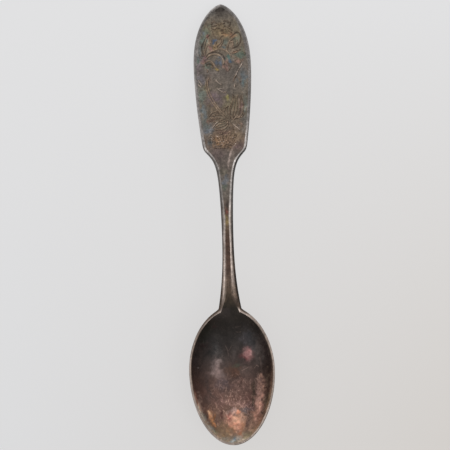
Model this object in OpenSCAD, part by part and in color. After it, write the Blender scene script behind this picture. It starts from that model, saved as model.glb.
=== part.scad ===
// Old table teaspoon, lying with its bowl up.
// It has a raised oval bowl with a narrow flat rim, a slender bevelled stem whose drop laps under the
// neck of the bowl, and a flat bevelled blade with square shoulders and a pointed arch at its tip.
// X runs across the spoon and Y along it, with the tip of the blade at +Y. Z is up.
// The origin is on the table, under the middle of the spoon's box.

/* [Bowl] */
// Length of the bowl, from its toe to the end of its rim
bowl_length = 43.5; // [38:0.5:50]
// Width across the outside of the rim
bowl_width = 27.2; // [23:0.2:32]
// Distance from the toe to the widest place of the bowl
bowl_widest = 23.6; // [20:0.2:27]
// Depth of the dish below its rim
bowl_depth = 7.2; // [5:0.1:9]
// Thickness of the metal at the bottom of the dish
bowl_wall = 1.1; // [0.8:0.05:1.6]
// How much the round underside is worn down to the flat on which the bowl stands
rest_wear = 0.18; // [0.1:0.02:0.3]
// Thickness of the metal at the rim
rim_thickness = 0.7; // [0.5:0.05:1]
// Width of the flat band along the rim
rim_band = 0.55; // [0.3:0.05:0.8]
// How far the rim's outer corner is eased down
rim_ease = 0.12; // [0.05:0.01:0.2]
// How far the side of the rim leans out below its corner
rim_draft = 0.2; // [0.1:0.05:0.3]

/* [Neck] */
// Length of the neck, from the end of the rim to the shoulder of the stem
neck_length = 6.5; // [4:0.5:9]
// Width of the neck where the rim ends
neck_width = 7.2; // [5.6:0.2:9]
// Width of the flat between the mitre corners where the rim ends
neck_flat = 4.9; // [3.6:0.1:5.6]
// Width of the flat along the neck, above the sweep to the mitre corners
throat_flat = 2.6; // [1.8:0.1:3.2]
// Distance over which the sweep to the mitre corners fades along the neck
mitre_sweep = 4.8; // [3:0.2:6]
// Thickness of the tang that lies on the stem's drop
tang_thickness = 1; // [0.8:0.05:1.2]
// Solder gap between the bowl and the stem
solder_gap = 0.06; // [0.04:0.01:0.1]

/* [Stem] */
// Length of the stem, from the neck to the middle of the scarf joint
stem_length = 36.5; // [28:0.5:46]
// Width of the stem at its waist
waist_width = 3.6; // [3:0.1:5]
// Width of the flat between the bevels at the waist
waist_flat = 1.5; // [1:0.1:2]
// Width of the stem at the scarf joint, without the sweep of the shoulders
stem_top_width = 5.1; // [4.2:0.1:6.5]
// Thickness of the stem
stem_thickness = 2.3; // [1.9:0.05:3]
// Depth of the bevels along the stem
stem_bevel_drop = 0.45; // [0.3:0.05:0.7]
// How far the sides of the stem lean out below the bevels
stem_draft = 0.65; // [0.3:0.05:0.8]
// Length of the drop that laps under the neck and the bowl
drop_length = 14; // [10:0.5:18]
// Thickness of the drop near its round end
drop_end_thickness = 0.35; // [0.2:0.05:0.6]
// Length of the scarf joint between the stem and the blade
scarf_length = 2.5; // [1.5:0.1:3.5]

/* [Blade] */
// Length of the blade, from the middle of the scarf joint to its tip
blade_length = 53.5; // [46:0.5:62]
// Width of the blade at its widest place
blade_width = 18.2; // [15:0.2:22]
// Distance from the tip to the widest place
tip_run = 20.4; // [16:0.2:25]
// Width of the blade between the corners of its shoulders
shoulder_width = 13.9; // [11:0.1:16]
// Distance from the scarf joint to the corners of the shoulders
shoulder_run = 7.5; // [6:0.1:9]
// How far each shoulder stands out from the stem at its corner
shoulder_flare = 5.3; // [3.6:0.1:6]
// Distance over which the sweep of a shoulder fades towards the stem
shoulder_sweep = 2.6; // [2:0.05:3.2]
// Thickness of the blade
blade_thickness = 1.6; // [1.2:0.05:2]
// Width of the bevel round the blade
blade_bevel = 0.55; // [0.3:0.05:0.8]
// Depth of the bevel round the blade
blade_bevel_drop = 0.35; // [0.2:0.05:0.5]
// How far the side of the blade leans out below its bevel
blade_draft = 0.35; // [0.15:0.05:0.5]
// Rounding of the edge round the back of the blade
back_ease = 0.3; // [0.15:0.05:0.45]

/* [Hidden] */

// Slopes, powers and shares that shape the curves
neck_slope_share = 0.4;
neck_rise_power = 3;
waist_place_share = 0.44;
toe_power = 1.97;
rim_power = 1.95;
neck_blend_power = 4.1;
neck_flare_power = 2.35;
shoulder_blend_power = 8;
side_power = 1.7;
tip_power = 2.375;
tip_end_power = 0.656;
dish_fullness_share = 0.72;
throat_power = 14;
mitre_power = 1.3;
drop_side_power = 3;
drop_end_power = 0.5;
back_round_share = 0.92;
drop_edge_share = 0.08;
drop_side_share = 0.2;
drop_last_share = 0.985;

// Counts of steps along the curves
toe_steps = 18;
rim_steps = 18;
neck_steps = 6;
end_steps = 6;
dish_rings = 14;
settle_rings = 6;
belly_rings = 12;
drop_steps = 12;
stem_steps = 24;
flat_steps = 8;
round_steps = 4;
sweep_steps = 9;
side_steps = 11;
tip_steps = 18;

// Places along the spoon, measured from the toe
neck_place = bowl_length + neck_length;
scarf_place = neck_place + stem_length;
spoon_length = scarf_place + blade_length;
waist_place = neck_place + waist_place_share * stem_length;
bend_end_place = scarf_place - scarf_length / 2;
shoulder_place = scarf_place + shoulder_run;
widest_place = spoon_length - tip_run;

// Colours of tarnished silver plate over yellow metal
bowl_colour = [0.36, 0.31, 0.28];
stem_colour = [0.55, 0.50, 0.44];
blade_colour = [0.50, 0.44, 0.40];

// General functions
function smooth_share(t) = let (c = min(1, max(0, t))) c * c * (3 - 2 * c);
function between(a, b, t) = a + (b - a) * t;
function power_sum(a, b, k) = pow(pow(a, k) + pow(b, k), 1 / k);

// Outline, as half widths at a distance from the toe

// Half width of the bowl's oval, drawn in all round by a margin
function oval_half(s, margin) =
    let (
        toe_reach = bowl_widest - margin,
        rim_reach = bowl_length - bowl_widest - margin,
        y = min(1, abs(s - bowl_widest) / (s < bowl_widest ? toe_reach : rim_reach)),
        k = s < bowl_widest ? toe_power : rim_power
    )
    (bowl_width / 2 - margin) * pow(1 - pow(y, k), 1 / k);

// Half width that falls from one width to the waist and rises again to another
function flared_half(s, at_bowl, at_waist, at_blade) =
    let (below = (waist_place - s) / (waist_place - bowl_length))
    s < waist_place
        ? between(at_waist, at_bowl, pow(below, neck_flare_power)) / 2
        : between(at_waist, at_blade, pow((s - waist_place) / (scarf_place - waist_place), 2)) / 2;

function stem_half(s) = flared_half(s, neck_width, waist_width, stem_top_width);

function sweep_half(s) = shoulder_flare * exp((s - shoulder_place) / shoulder_sweep);

function side_half(s) =
    let (fall = min(1, max(0, widest_place - s) / (widest_place - shoulder_place)))
    between(blade_width, shoulder_width, pow(fall, side_power)) / 2;

function tip_half(s) =
    blade_width / 2 * pow(1 - pow(min(1, (s - widest_place) / tip_run), tip_power), tip_end_power);

// Half width of the whole spoon
function outline_half(s) =
    s < bowl_widest ? oval_half(s, 0)
    : s < waist_place
        ? power_sum(oval_half(s, 0),
            stem_half(s) * smooth_share((s - bowl_widest) / (bowl_length - bowl_widest)), neck_blend_power)
    : s < widest_place
        ? power_sum(stem_half(s) + sweep_half(s), side_half(s), -shoulder_blend_power)
    : tip_half(s);

// Half width of the flat between the bevels, which sweeps out to the mitre corners where the rim ends
function flat_half(s) =
    let (at_blade = 2 * (outline_half(scarf_place) - blade_draft - blade_bevel))
    flared_half(s, throat_flat, waist_flat, at_blade)
    + (neck_flat - throat_flat) / 2 * pow(max(0, 1 + (bowl_length - s) / mitre_sweep), mitre_power);

// Side view: height of the top line of the spoon

rim_height = bowl_depth + bowl_wall;
neck_rise = neck_slope_share * (neck_place - bowl_widest) / neck_rise_power;
neck_height = rim_height + neck_rise;
bend_length = bend_end_place - neck_place;
straight_length = spoon_length - bend_end_place;
blade_slope = (blade_thickness - neck_height - neck_slope_share * bend_length / 2)
    / (bend_length / 2 + straight_length);
bend_end_height = neck_height + (neck_slope_share + blade_slope) / 2 * bend_length;

function top_height(s) =
    s < bowl_widest ? rim_height
    : s < neck_place
        ? rim_height + neck_rise * pow((s - bowl_widest) / (neck_place - bowl_widest), neck_rise_power)
    : s < bend_end_place
        ? let (run = s - neck_place)
            neck_height + neck_slope_share * run
            + (blade_slope - neck_slope_share) * run * run / (2 * bend_length)
    : bend_end_height + blade_slope * (s - bend_end_place);

// A point of the spoon at x across, s from the toe and d below the top line
function place(x, s, d) = [x, s - spoon_length / 2, top_height(s) - d];

// Bowl

// Depth of a round cap, from 1 in its middle to 0 at its edge
function cap_share(r) =
    let (k = dish_fullness_share, c = min(1, r))
    (sqrt(1 - k * c * c) - sqrt(1 - k)) / (1 - sqrt(1 - k));

// Share of the full depth at a point of the bowl, which starts without an edge below the neck
function hollow_share(x, s, margin) =
    let (
        toe_reach = bowl_widest - margin,
        rim_reach = bowl_length - bowl_widest - margin,
        k = s < bowl_widest ? toe_power : rim_power,
        across = abs(x) / (bowl_width / 2 - margin),
        along = (s - bowl_widest) / (s < bowl_widest ? toe_reach : rim_reach),
        r = power_sum(across, abs(along), k),
        neckward = r > 0 ? max(0, along / r) : 0
    )
    pow(cap_share(r), 1 + pow(neckward, throat_power));

function dish_depth(x, s) = bowl_depth * hollow_share(x, s, rim_draft + rim_band);

function edge_thickness(s) =
    between(rim_thickness, tang_thickness, smooth_share((s - bowl_widest) / (bowl_length - bowl_widest)));

// Depth of the underside, which is worn flat where the bowl stands
function belly_depth(x, s) =
    min(bowl_depth + bowl_wall,
        between(edge_thickness(s), bowl_depth + bowl_wall + rest_wear, hollow_share(x, s, 0)));

// The side's upper corner has a light ease on the rim and a full bevel on the neck
function neck_share(s) = smooth_share((s - bowl_widest) / (neck_place - bowl_widest));
function corner_drop(s) = between(rim_ease, stem_bevel_drop, neck_share(s));
function corner_draft(s) = between(rim_draft, stem_draft, neck_share(s));

// Distances of the outline's points from the toe, with the angle round the oval where there is one
function toe_angle(i) = 90 * i / toe_steps;
function rim_angle(i) = 90 * i / rim_steps;

outer_path = concat(
    [for (i = [0:toe_steps]) let (s = bowl_widest * (1 - cos(toe_angle(i)))) [outline_half(s), s]],
    [for (i = [1:rim_steps])
        let (s = bowl_widest + (bowl_length - bowl_widest) * sin(rim_angle(i))) [outline_half(s), s]],
    [for (i = [1:neck_steps])
        let (s = bowl_length + neck_length * i / neck_steps) [outline_half(s), s]]
);

// The band's inner line follows the oval, and past the mitre corner the flat of the neck
inner_margin = rim_draft + rim_band;
function inner_point(x, s, outer_s) =
    x > min(flat_half(s), neck_width / 2) ? [x, s] : [flat_half(outer_s), outer_s];

inner_path = concat(
    [for (i = [0:toe_steps])
        let (s = bowl_widest - (bowl_widest - inner_margin) * cos(toe_angle(i)))
        [oval_half(s, inner_margin), s]],
    [for (i = [1:rim_steps])
        let (s = bowl_widest + (bowl_length - bowl_widest - inner_margin) * sin(rim_angle(i)))
        inner_point(oval_half(s, inner_margin), s, outer_path[toe_steps + i][1])],
    [for (i = [1:neck_steps])
        let (s = outer_path[toe_steps + rim_steps + i][1]) [flat_half(s), s]]
);

// The same line closed by even steps between the mitre corners instead of the neck
mitre_index = len([for (p = inner_path) if (p[0] > flat_half(p[1]) || p[1] < bowl_widest) p]) - 1;
settled_path =
    let (n = len(inner_path) - 1, corner = inner_path[mitre_index])
    [for (i = [0:n])
        let (t = (i - mitre_index) / (n - mitre_index + end_steps / 2))
        i <= mitre_index ? inner_path[i] : [corner[0] * (1 - t), corner[1]]];

// Closed loop from a path up the right side, across the end of the neck and down the left side
function closed_loop(path) =
    let (n = len(path) - 1, end = path[n])
    concat(
        path,
        [for (i = [1:end_steps - 1]) [end[0] * (1 - 2 * i / end_steps), end[1]]],
        [for (i = [n:-1:1]) [-path[i][0], path[i][1]]]
    );

// A path drawn in square to its edge, or level at the ends that lie on a joint
function drawn_back(path, margins, first, last) =
    let (n = len(path) - 1)
    [for (i = [0:n])
        let (
            run = path[min(n, i + 1)] - path[max(0, i - 1)],
            inward = i == 0 ? first : i == n ? last : [-run[1], run[0]] / norm(run)
        )
        path[i] + margins[i] * inward];

// The loop drawn in towards the middle of the bowl
function drawn_in(loop, share) =
    [for (p = loop) [p[0] * share, between(bowl_widest, p[1], share)]];

function ring_share(i, count) = sin(90 * i / count);

// Triangles between closed rows of as many points each
function skin(rows, m) = [
    for (r = [0:rows - 2]) for (i = [0:m - 1])
        let (a = r * m + i, b = r * m + (i + 1) % m)
        each [[a, b + m, a + m], [a, b, b + m]]
];

// A solid through closed rows of points, with flat ends
module lofted(rows) {
    m = len(rows[0]);
    last = (len(rows) - 1) * m;
    polyhedron(
        [for (row = rows) each row],
        concat(skin(len(rows), m), [[for (i = [m - 1:-1:0]) i]], [[for (i = [0:m - 1]) last + i]])
    );
}

module bowl() {
    inner = closed_loop(inner_path);
    settled = closed_loop(settled_path);
    outer = closed_loop(outer_path);
    m = len(outer);
    dish_rows = [for (i = [1:dish_rings])
        let (loop = between(inner, settled, min(1, (dish_rings - i) / settle_rings)))
        [for (p = drawn_in(loop, ring_share(i, dish_rings))) place(p[0], p[1], dish_depth(p[0], p[1]))]];
    corners = drawn_back(outer_path, [for (p = outer_path) corner_draft(p[1])], [0, 1], [-1, 0]);
    rim_row = [for (p = closed_loop(corners)) place(p[0], p[1], corner_drop(p[1]))];
    belly_rows = [for (i = [belly_rings:-1:1])
        [for (p = drawn_in(outer, ring_share(i, belly_rings))) place(p[0], p[1], belly_depth(p[0], p[1]))]];
    rows = concat(dish_rows, [rim_row], belly_rows);
    count = len(rows) * m;
    points = concat(
        [for (row = rows) each row],
        [place(0, bowl_widest, bowl_depth), place(0, bowl_widest, bowl_depth + bowl_wall)]
    );
    faces = concat(
        skin(len(rows), m),
        [for (i = [0:m - 1]) [count, (i + 1) % m, i]],
        [for (i = [0:m - 1]) [count + 1, count - m + i, count - m + (i + 1) % m]]
    );
    color(bowl_colour) polyhedron(points, faces);
}

// Stem

// Widths and depths of the stem's section change from the round back of the neck to the blade's edge
function blade_share(s) = smooth_share((s - neck_place) / (scarf_place - neck_place));
function stem_depth(s) = between(stem_thickness, blade_thickness, blade_share(s));
function bevel_drop(s) = between(stem_bevel_drop, blade_bevel_drop, blade_share(s));
function side_draft(s) = between(stem_draft, blade_draft, blade_share(s));
function round_width(s) = between(back_round_share * outline_half(s), back_ease, blade_share(s));
function round_height(s) =
    between(stem_thickness - tang_thickness - solder_gap, back_ease, blade_share(s));

function round_angle(j) = 90 * j / round_steps;

// Place of a point that is d below the top of a section which leans with the scarf joint
function leaning(s, d) = s + scarf_length * blade_share(s) * (d / stem_depth(s) - 1 / 2);

function section_row(s) =
    let (
        depth = stem_depth(s),
        corners = concat(
            [bevel_drop(s)],
            [for (j = [0:round_steps]) depth - round_height(s) * (1 - sin(round_angle(j)))]
        ),
        insets = concat(
            [side_draft(s)],
            [for (j = [0:round_steps]) round_width(s) * (1 - cos(round_angle(j)))]
        ),
        side = [for (i = [0:round_steps + 1])
            let (at = leaning(s, corners[i])) [outline_half(at) - insets[i], at, corners[i]]],
        top_at = leaning(s, 0)
    )
    concat(
        [for (i = [0:flat_steps])
            let (u = 2 * i / flat_steps - 1) place(u * flat_half(top_at), top_at, 0)],
        [for (p = side) place(p[0], p[1], p[2])],
        [for (i = [round_steps + 1:-1:0]) let (p = side[i]) place(-p[0], p[1], p[2])]
    );

// The drop narrows to a round end and thins out under the bowl
function drop_along(s) = (neck_place - s) / drop_length;
function drop_half(s) =
    outline_half(neck_place) * pow(1 - pow(drop_along(s), drop_side_power), drop_end_power);
function drop_thickness(s) =
    between(stem_thickness - tang_thickness - solder_gap, drop_end_thickness, smooth_share(drop_along(s)));

function drop_row(s) =
    let (
        half = drop_half(s),
        thick = drop_thickness(s),
        side = concat(
            [[half, drop_edge_share]],
            [for (j = [0:round_steps])
                [half * (1 - back_round_share * (1 - cos(round_angle(j)))),
                    between(drop_side_share, 1, sin(round_angle(j)))]]
        )
    )
    concat(
        [for (i = [0:flat_steps])
            let (x = half * (1 - drop_edge_share) * (2 * i / flat_steps - 1))
            place(x, s, belly_depth(x, s) + solder_gap)],
        [for (p = side) place(p[0], s, belly_depth(p[0], s) + solder_gap + thick * p[1])],
        [for (i = [round_steps + 1:-1:0])
            let (p = side[i]) place(-p[0], s, belly_depth(p[0], s) + solder_gap + thick * p[1])]
    );

module stem() {
    first = neck_place + solder_gap;
    rows = concat(
        [for (i = [0:stem_steps]) section_row(between(scarf_place, first, i / stem_steps))],
        [for (i = [0:drop_steps])
            drop_row(neck_place - drop_length * drop_last_share * sin(90 * i / drop_steps))]
    );
    color(stem_colour) lofted(rows);
}

// Blade

// Outline of the blade from the scarf joint up the right side, over the tip and down the left side.
// The joint leans, so each level of the blade starts at its own place.
function blade_right(start) = concat(
    [for (i = [0:sweep_steps])
        let (s = between(start, shoulder_place, i / sweep_steps)) [outline_half(s), s]],
    [for (i = [1:side_steps])
        let (s = between(shoulder_place, widest_place, i / side_steps)) [outline_half(s), s]],
    [for (i = [1:tip_steps]) let (s = widest_place + tip_run * sin(90 * i / tip_steps)) [outline_half(s), s]]
);

// The outline drawn in by a margin, square to its edge and level at the joint
function blade_row(margin, depth) =
    let (
        start = leaning(scarf_place, depth),
        right = blade_right(start),
        n = len(right) - 1,
        path = concat(right, [for (i = [n - 1:-1:0]) [-right[i][0], right[i][1]]])
    )
    [for (p = drawn_back(path, [for (q = path) margin], [-1, 0], [1, 0])) place(p[0], p[1], depth)];

module handle_blade() {
    rows = concat(
        [blade_row(blade_draft + blade_bevel, 0), blade_row(blade_draft, blade_bevel_drop)],
        [for (j = [0:round_steps])
            blade_row(back_ease * (1 - cos(round_angle(j))),
                blade_thickness - back_ease * (1 - sin(round_angle(j))))]
    );
    color(blade_colour) lofted(rows);
}

bowl();
stem();
handle_blade();
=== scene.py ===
import math

import bmesh
import bpy
import numpy as np
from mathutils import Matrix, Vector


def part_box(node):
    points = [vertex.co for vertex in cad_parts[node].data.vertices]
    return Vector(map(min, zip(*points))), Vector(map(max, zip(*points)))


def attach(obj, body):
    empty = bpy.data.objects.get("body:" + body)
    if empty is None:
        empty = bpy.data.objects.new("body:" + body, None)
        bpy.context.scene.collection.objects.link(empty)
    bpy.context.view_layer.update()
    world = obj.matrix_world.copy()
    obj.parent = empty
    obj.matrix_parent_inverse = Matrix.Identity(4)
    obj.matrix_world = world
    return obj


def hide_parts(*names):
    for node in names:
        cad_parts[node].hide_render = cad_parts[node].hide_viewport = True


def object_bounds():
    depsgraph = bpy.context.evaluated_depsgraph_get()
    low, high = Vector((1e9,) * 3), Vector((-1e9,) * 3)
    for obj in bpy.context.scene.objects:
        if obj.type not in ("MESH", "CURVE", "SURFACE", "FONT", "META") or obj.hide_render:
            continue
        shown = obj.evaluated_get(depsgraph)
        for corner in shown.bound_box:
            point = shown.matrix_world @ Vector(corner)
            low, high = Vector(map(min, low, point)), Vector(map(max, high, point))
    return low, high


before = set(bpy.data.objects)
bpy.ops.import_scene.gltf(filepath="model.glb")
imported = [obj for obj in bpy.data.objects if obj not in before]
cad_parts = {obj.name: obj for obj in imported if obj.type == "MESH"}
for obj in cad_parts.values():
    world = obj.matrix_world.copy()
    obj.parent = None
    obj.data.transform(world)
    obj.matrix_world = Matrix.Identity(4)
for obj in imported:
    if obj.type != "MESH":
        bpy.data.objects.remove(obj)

loaded_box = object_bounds()

# Sizes in mm. The frame gives the first ones, and the others are those of the part's source.
MM = 0.001
low, high = loaded_box
bowl_low, bowl_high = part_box("bowl")
blade_low, blade_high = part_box("handle_blade")
SPOON_LENGTH = (high.y - low.y) / MM
BOWL_WIDTH = (bowl_high.x - bowl_low.x) / MM
BLADE_WIDTH = (blade_high.x - blade_low.x) / MM
NECK_PLACE = (bowl_high.y - low.y) / MM
TOP_LIMIT = high.z / MM

BOWL_LENGTH = 43.5
BOWL_WIDEST = 23.6
BOWL_DEPTH = 7.2
BOWL_WALL = 1.1
REST_WEAR = 0.18
RIM_THICKNESS = 0.7
RIM_BAND = 0.55
RIM_EASE = 0.12
RIM_DRAFT = 0.2
NECK_WIDTH = 7.2
NECK_FLAT = 4.9
THROAT_FLAT = 2.6
MITRE_SWEEP = 4.8
TANG_THICKNESS = 1
SOLDER_GAP = 0.06
STEM_LENGTH = 36.5
WAIST_WIDTH = 3.6
WAIST_FLAT = 1.5
STEM_TOP_WIDTH = 5.1
STEM_THICKNESS = 2.3
STEM_BEVEL_DROP = 0.45
STEM_DRAFT = 0.65
DROP_LENGTH = 14
DROP_END_THICKNESS = 0.35
SCARF_LENGTH = 2.5
TIP_RUN = 20.4
SHOULDER_WIDTH = 13.9
SHOULDER_RUN = 7.5
SHOULDER_FLARE = 5.3
SHOULDER_SWEEP = 2.6
BLADE_THICKNESS = 1.6
BLADE_BEVEL = 0.55
BLADE_BEVEL_DROP = 0.35
BLADE_DRAFT = 0.35
BACK_EASE = 0.3
EDGE_WEAR = 0.04

NECK_SLOPE_SHARE = 0.4
NECK_RISE_POWER = 3
WAIST_PLACE_SHARE = 0.44
TOE_POWER = 1.97
RIM_POWER = 1.95
NECK_BLEND_POWER = 4.1
NECK_FLARE_POWER = 2.35
SHOULDER_BLEND_POWER = 8
SIDE_POWER = 1.7
TIP_POWER = 2.375
TIP_END_POWER = 0.656
DISH_FULLNESS = 0.72
THROAT_POWER = 14
MITRE_POWER = 1.3
DROP_SIDE_POWER = 3
BACK_ROUND_SHARE = 0.92

SCARF_PLACE = NECK_PLACE + STEM_LENGTH
WAIST_PLACE = NECK_PLACE + WAIST_PLACE_SHARE * STEM_LENGTH
BEND_END_PLACE = SCARF_PLACE - SCARF_LENGTH / 2
SHOULDER_PLACE = SCARF_PLACE + SHOULDER_RUN
WIDEST_PLACE = SPOON_LENGTH - TIP_RUN
INNER_MARGIN = RIM_DRAFT + RIM_BAND


# The outline and the side view, the same curves as the CAD's: s is the distance from the toe of the bowl

def share(t):
    c = np.clip(t, 0, 1)
    return c * c * (3 - 2 * c)


def eased(s, start, end):
    """From 0 at the start to 1 at the end, with a soft turn at both."""
    return share((s - start) / (end - start))


def between(a, b, t):
    return a + (b - a) * t


def power_sum(a, b, k):
    return (np.maximum(a, 1e-9) ** k + np.maximum(b, 1e-9) ** k) ** (1 / k)


def along_oval(s, margin):
    """How far along the toe's half or the rim's half of the oval a place lies, and the power of that half."""
    toe = s < BOWL_WIDEST
    reach = np.where(toe, BOWL_WIDEST, BOWL_LENGTH - BOWL_WIDEST) - margin
    return (s - BOWL_WIDEST) / reach, np.where(toe, TOE_POWER, RIM_POWER)


def oval_half(s, margin=0.0):
    along, k = along_oval(np.asarray(s, float), margin)
    return (BOWL_WIDTH / 2 - margin) * (1 - np.minimum(1, np.abs(along)) ** k) ** (1 / k)


def flared_half(s, at_bowl, at_waist, at_blade):
    down = np.maximum(0, (WAIST_PLACE - s) / (WAIST_PLACE - BOWL_LENGTH)) ** NECK_FLARE_POWER
    up = ((s - WAIST_PLACE) / (SCARF_PLACE - WAIST_PLACE)) ** 2
    return np.where(s < WAIST_PLACE, between(at_waist, at_bowl, down), between(at_waist, at_blade, up)) / 2


def stem_half(s):
    return flared_half(s, NECK_WIDTH, WAIST_WIDTH, STEM_TOP_WIDTH)


def outline_half(s):
    s = np.asarray(s, float)
    oval = oval_half(s)
    neck = power_sum(oval, stem_half(s) * eased(s, BOWL_WIDEST, BOWL_LENGTH), NECK_BLEND_POWER)
    sweep = SHOULDER_FLARE * np.exp((np.minimum(s, WIDEST_PLACE) - SHOULDER_PLACE) / SHOULDER_SWEEP)
    fall = np.clip((WIDEST_PLACE - s) / (WIDEST_PLACE - SHOULDER_PLACE), 0, 1)
    side = between(BLADE_WIDTH, SHOULDER_WIDTH, fall ** SIDE_POWER) / 2
    shoulder = power_sum(stem_half(np.minimum(s, WIDEST_PLACE)) + sweep, side, -SHOULDER_BLEND_POWER)
    past_widest = np.clip((s - WIDEST_PLACE) / TIP_RUN, 0, 1)
    tip = BLADE_WIDTH / 2 * (1 - past_widest ** TIP_POWER) ** TIP_END_POWER
    handle = np.where(s < WAIST_PLACE, neck, np.where(s < WIDEST_PLACE, shoulder, tip))
    return np.where(s < BOWL_WIDEST, oval, handle)


def flat_half(s):
    at_blade = 2 * (float(outline_half(SCARF_PLACE)) - BLADE_DRAFT - BLADE_BEVEL)
    sweep = np.maximum(0, 1 + (BOWL_LENGTH - s) / MITRE_SWEEP) ** MITRE_POWER
    return flared_half(s, THROAT_FLAT, WAIST_FLAT, at_blade) + (NECK_FLAT - THROAT_FLAT) / 2 * sweep


RIM_HEIGHT = BOWL_DEPTH + BOWL_WALL
NECK_RISE = NECK_SLOPE_SHARE * (NECK_PLACE - BOWL_WIDEST) / NECK_RISE_POWER
NECK_HEIGHT = RIM_HEIGHT + NECK_RISE
BEND_LENGTH = BEND_END_PLACE - NECK_PLACE
BLADE_SLOPE = ((BLADE_THICKNESS - NECK_HEIGHT - NECK_SLOPE_SHARE * BEND_LENGTH / 2)
               / (BEND_LENGTH / 2 + SPOON_LENGTH - BEND_END_PLACE))
BEND_END_HEIGHT = NECK_HEIGHT + (NECK_SLOPE_SHARE + BLADE_SLOPE) / 2 * BEND_LENGTH


def top_height(s):
    s = np.asarray(s, float)
    climb = np.maximum(0, s - BOWL_WIDEST) / (NECK_PLACE - BOWL_WIDEST)
    rise = RIM_HEIGHT + NECK_RISE * climb ** NECK_RISE_POWER
    run = s - NECK_PLACE
    turned = (BLADE_SLOPE - NECK_SLOPE_SHARE) * run * run / (2 * BEND_LENGTH)
    bend = NECK_HEIGHT + NECK_SLOPE_SHARE * run + turned
    straight = BEND_END_HEIGHT + BLADE_SLOPE * (s - BEND_END_PLACE)
    return np.where(s < NECK_PLACE, rise, np.where(s < BEND_END_PLACE, bend, straight))


def hollow_share(x, s, margin):
    along, k = along_oval(s, margin)
    r = power_sum(np.abs(x) / (BOWL_WIDTH / 2 - margin), np.abs(along), k)
    neckward = np.maximum(0, along / np.maximum(r, 1e-6))
    c = np.minimum(1, r)
    edge = math.sqrt(1 - DISH_FULLNESS)
    cap = np.maximum(0, (np.sqrt(1 - DISH_FULLNESS * c * c) - edge) / (1 - edge))
    return cap ** (1 + neckward ** THROAT_POWER)


def edge_thickness(s):
    return between(RIM_THICKNESS, TANG_THICKNESS, eased(s, BOWL_WIDEST, BOWL_LENGTH))


def belly_depth(x, s):
    worn = between(edge_thickness(s), BOWL_DEPTH + BOWL_WALL + REST_WEAR, hollow_share(x, s, 0))
    return np.minimum(BOWL_DEPTH + BOWL_WALL, worn)


def neck_share(s):
    return eased(s, BOWL_WIDEST, NECK_PLACE)


def blade_share(s):
    return eased(s, NECK_PLACE, SCARF_PLACE)


def drawn_back(x, s, margin, first, last):
    """A path drawn in square to its edge, whose two ends are drawn in the given ways."""
    run_x, run_s = np.gradient(x), np.gradient(s)
    n = np.hypot(run_x, run_s)
    in_x, in_s = -run_s / n, run_x / n
    in_x[0], in_s[0] = first
    in_x[-1], in_s[-1] = last
    return x + margin * in_x, s + margin * in_s


# Random values from 0 to 1 that vary smoothly, for tarnish and wear: size is how wide a lump is, in mm

CLOUD_CELLS = 64
CLOUD_SHIFT = (31.7, 17.3)
CLOUD_LAYERS = 3
GROUND_SEED, SCRATCH_SEED, DISH_SEED, HANDLE_SEED = 11, 5, 21, 33
STREAK_SEED, FINE_SEED, BROAD_SEED = 83, 51, 57


def cloud(x, s, size, seed):
    table = np.random.default_rng(seed).random((CLOUD_CELLS, CLOUD_CELLS))
    u, v = x / size + CLOUD_SHIFT[0], s / size + CLOUD_SHIFT[1]
    i, j = np.floor(u).astype(int), np.floor(v).astype(int)
    fu, fv = share(u - i), share(v - j)
    i0, i1, j0, j1 = i % CLOUD_CELLS, (i + 1) % CLOUD_CELLS, j % CLOUD_CELLS, (j + 1) % CLOUD_CELLS
    near, far = between(table[i0, j0], table[i1, j0], fu), between(table[i0, j1], table[i1, j1], fu)
    return between(near, far, fv)


def clouds(x, s, size, seed):
    """Layers of clouds, each half as wide and half as strong as the one before."""
    total = sum(cloud(x, s, size / 2 ** k, seed + k) / 2 ** k for k in range(CLOUD_LAYERS))
    return total / sum(1 / 2 ** k for k in range(CLOUD_LAYERS))


# The engraving. In every table a line is its first place in mm, across from the middle and from the toe, and
# then the steps from each place to the next one
PETALS = (
    (-3.3, 133, 1, 0.2, 1, 0.3), (-3, 132.4, 0.5, -0.3, 0.7, 0.2), (-3.2, 133.6, 0.5, 0.7, 0.6, 0.5),
    (-2.4, 134.8, 0.5, -0.5, 0.4, -0.3), (-1.3, 133.8, 0.6, -0.3, 0.6, 0.2),
    (-0.1, 134.1, 0.8, -0.3, 0.4, 0.4), (0.8, 134.8, 0.8, -0.1, 0.6, -0.7),
    (1.9, 134.6, 0.7, -0.4, 0.3, -0.8), (1.2, 133.1, 0.8, -0.3, 0.8, 0.4),
    (2.3, 132.3, 0.7, -0.1, 0.3, -0.8), (2.1, 131.4, 0.8, -0.1, 0.4, -0.7),
    (-0.1, 130.8, 0.7, 0.1, 0.6, -0.2), (-2, 132.2, 0.6, 0.3, 0.9, -0.1),
    (0.6, 132.9, 0.2, -0.7, 0.6, -0.3), (-2.8, 130.8, 0.6, -0.9, 0.7, -0.8, 0.9, -0.2),
    (-0.6, 128.9, 0.4, 0.8, 0.7, 0.4),
)
LEFT_LEAF = (
    (-3.9, 130.3, -1.1, -1.1, -1.1, -1.8, -0.3, -1.2, 0.2, -1.5, 0.4, -1.2),
    (-4.6, 129.4, -0.6, -1.2, -0.3, -1.5, -0.1, -1.6, 0.1, -1.2), (-4.7, 126.9, -0.5, -1.3, -0.2, -1.1),
    (-4.1, 129.3, 0.1, -1.2, 0.5, -1.2, 0.6, -0.8),
)
CROWN = (
    (-3.6, 128.9, 0.2, -1.1, 0.6, -1, 0.7, 0.5, 0.6, 1.1), (0.5, 128.8, -0.4, -1.1, -0.6, -1, -0.6, -0.6),
    (-0.1, 129.1, -0.2, -1.1, -0.6, -0.7, -1, -0.9), (-1.6, 126.2, -0.6, 0.6, -0.3, -0.5),
)
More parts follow.
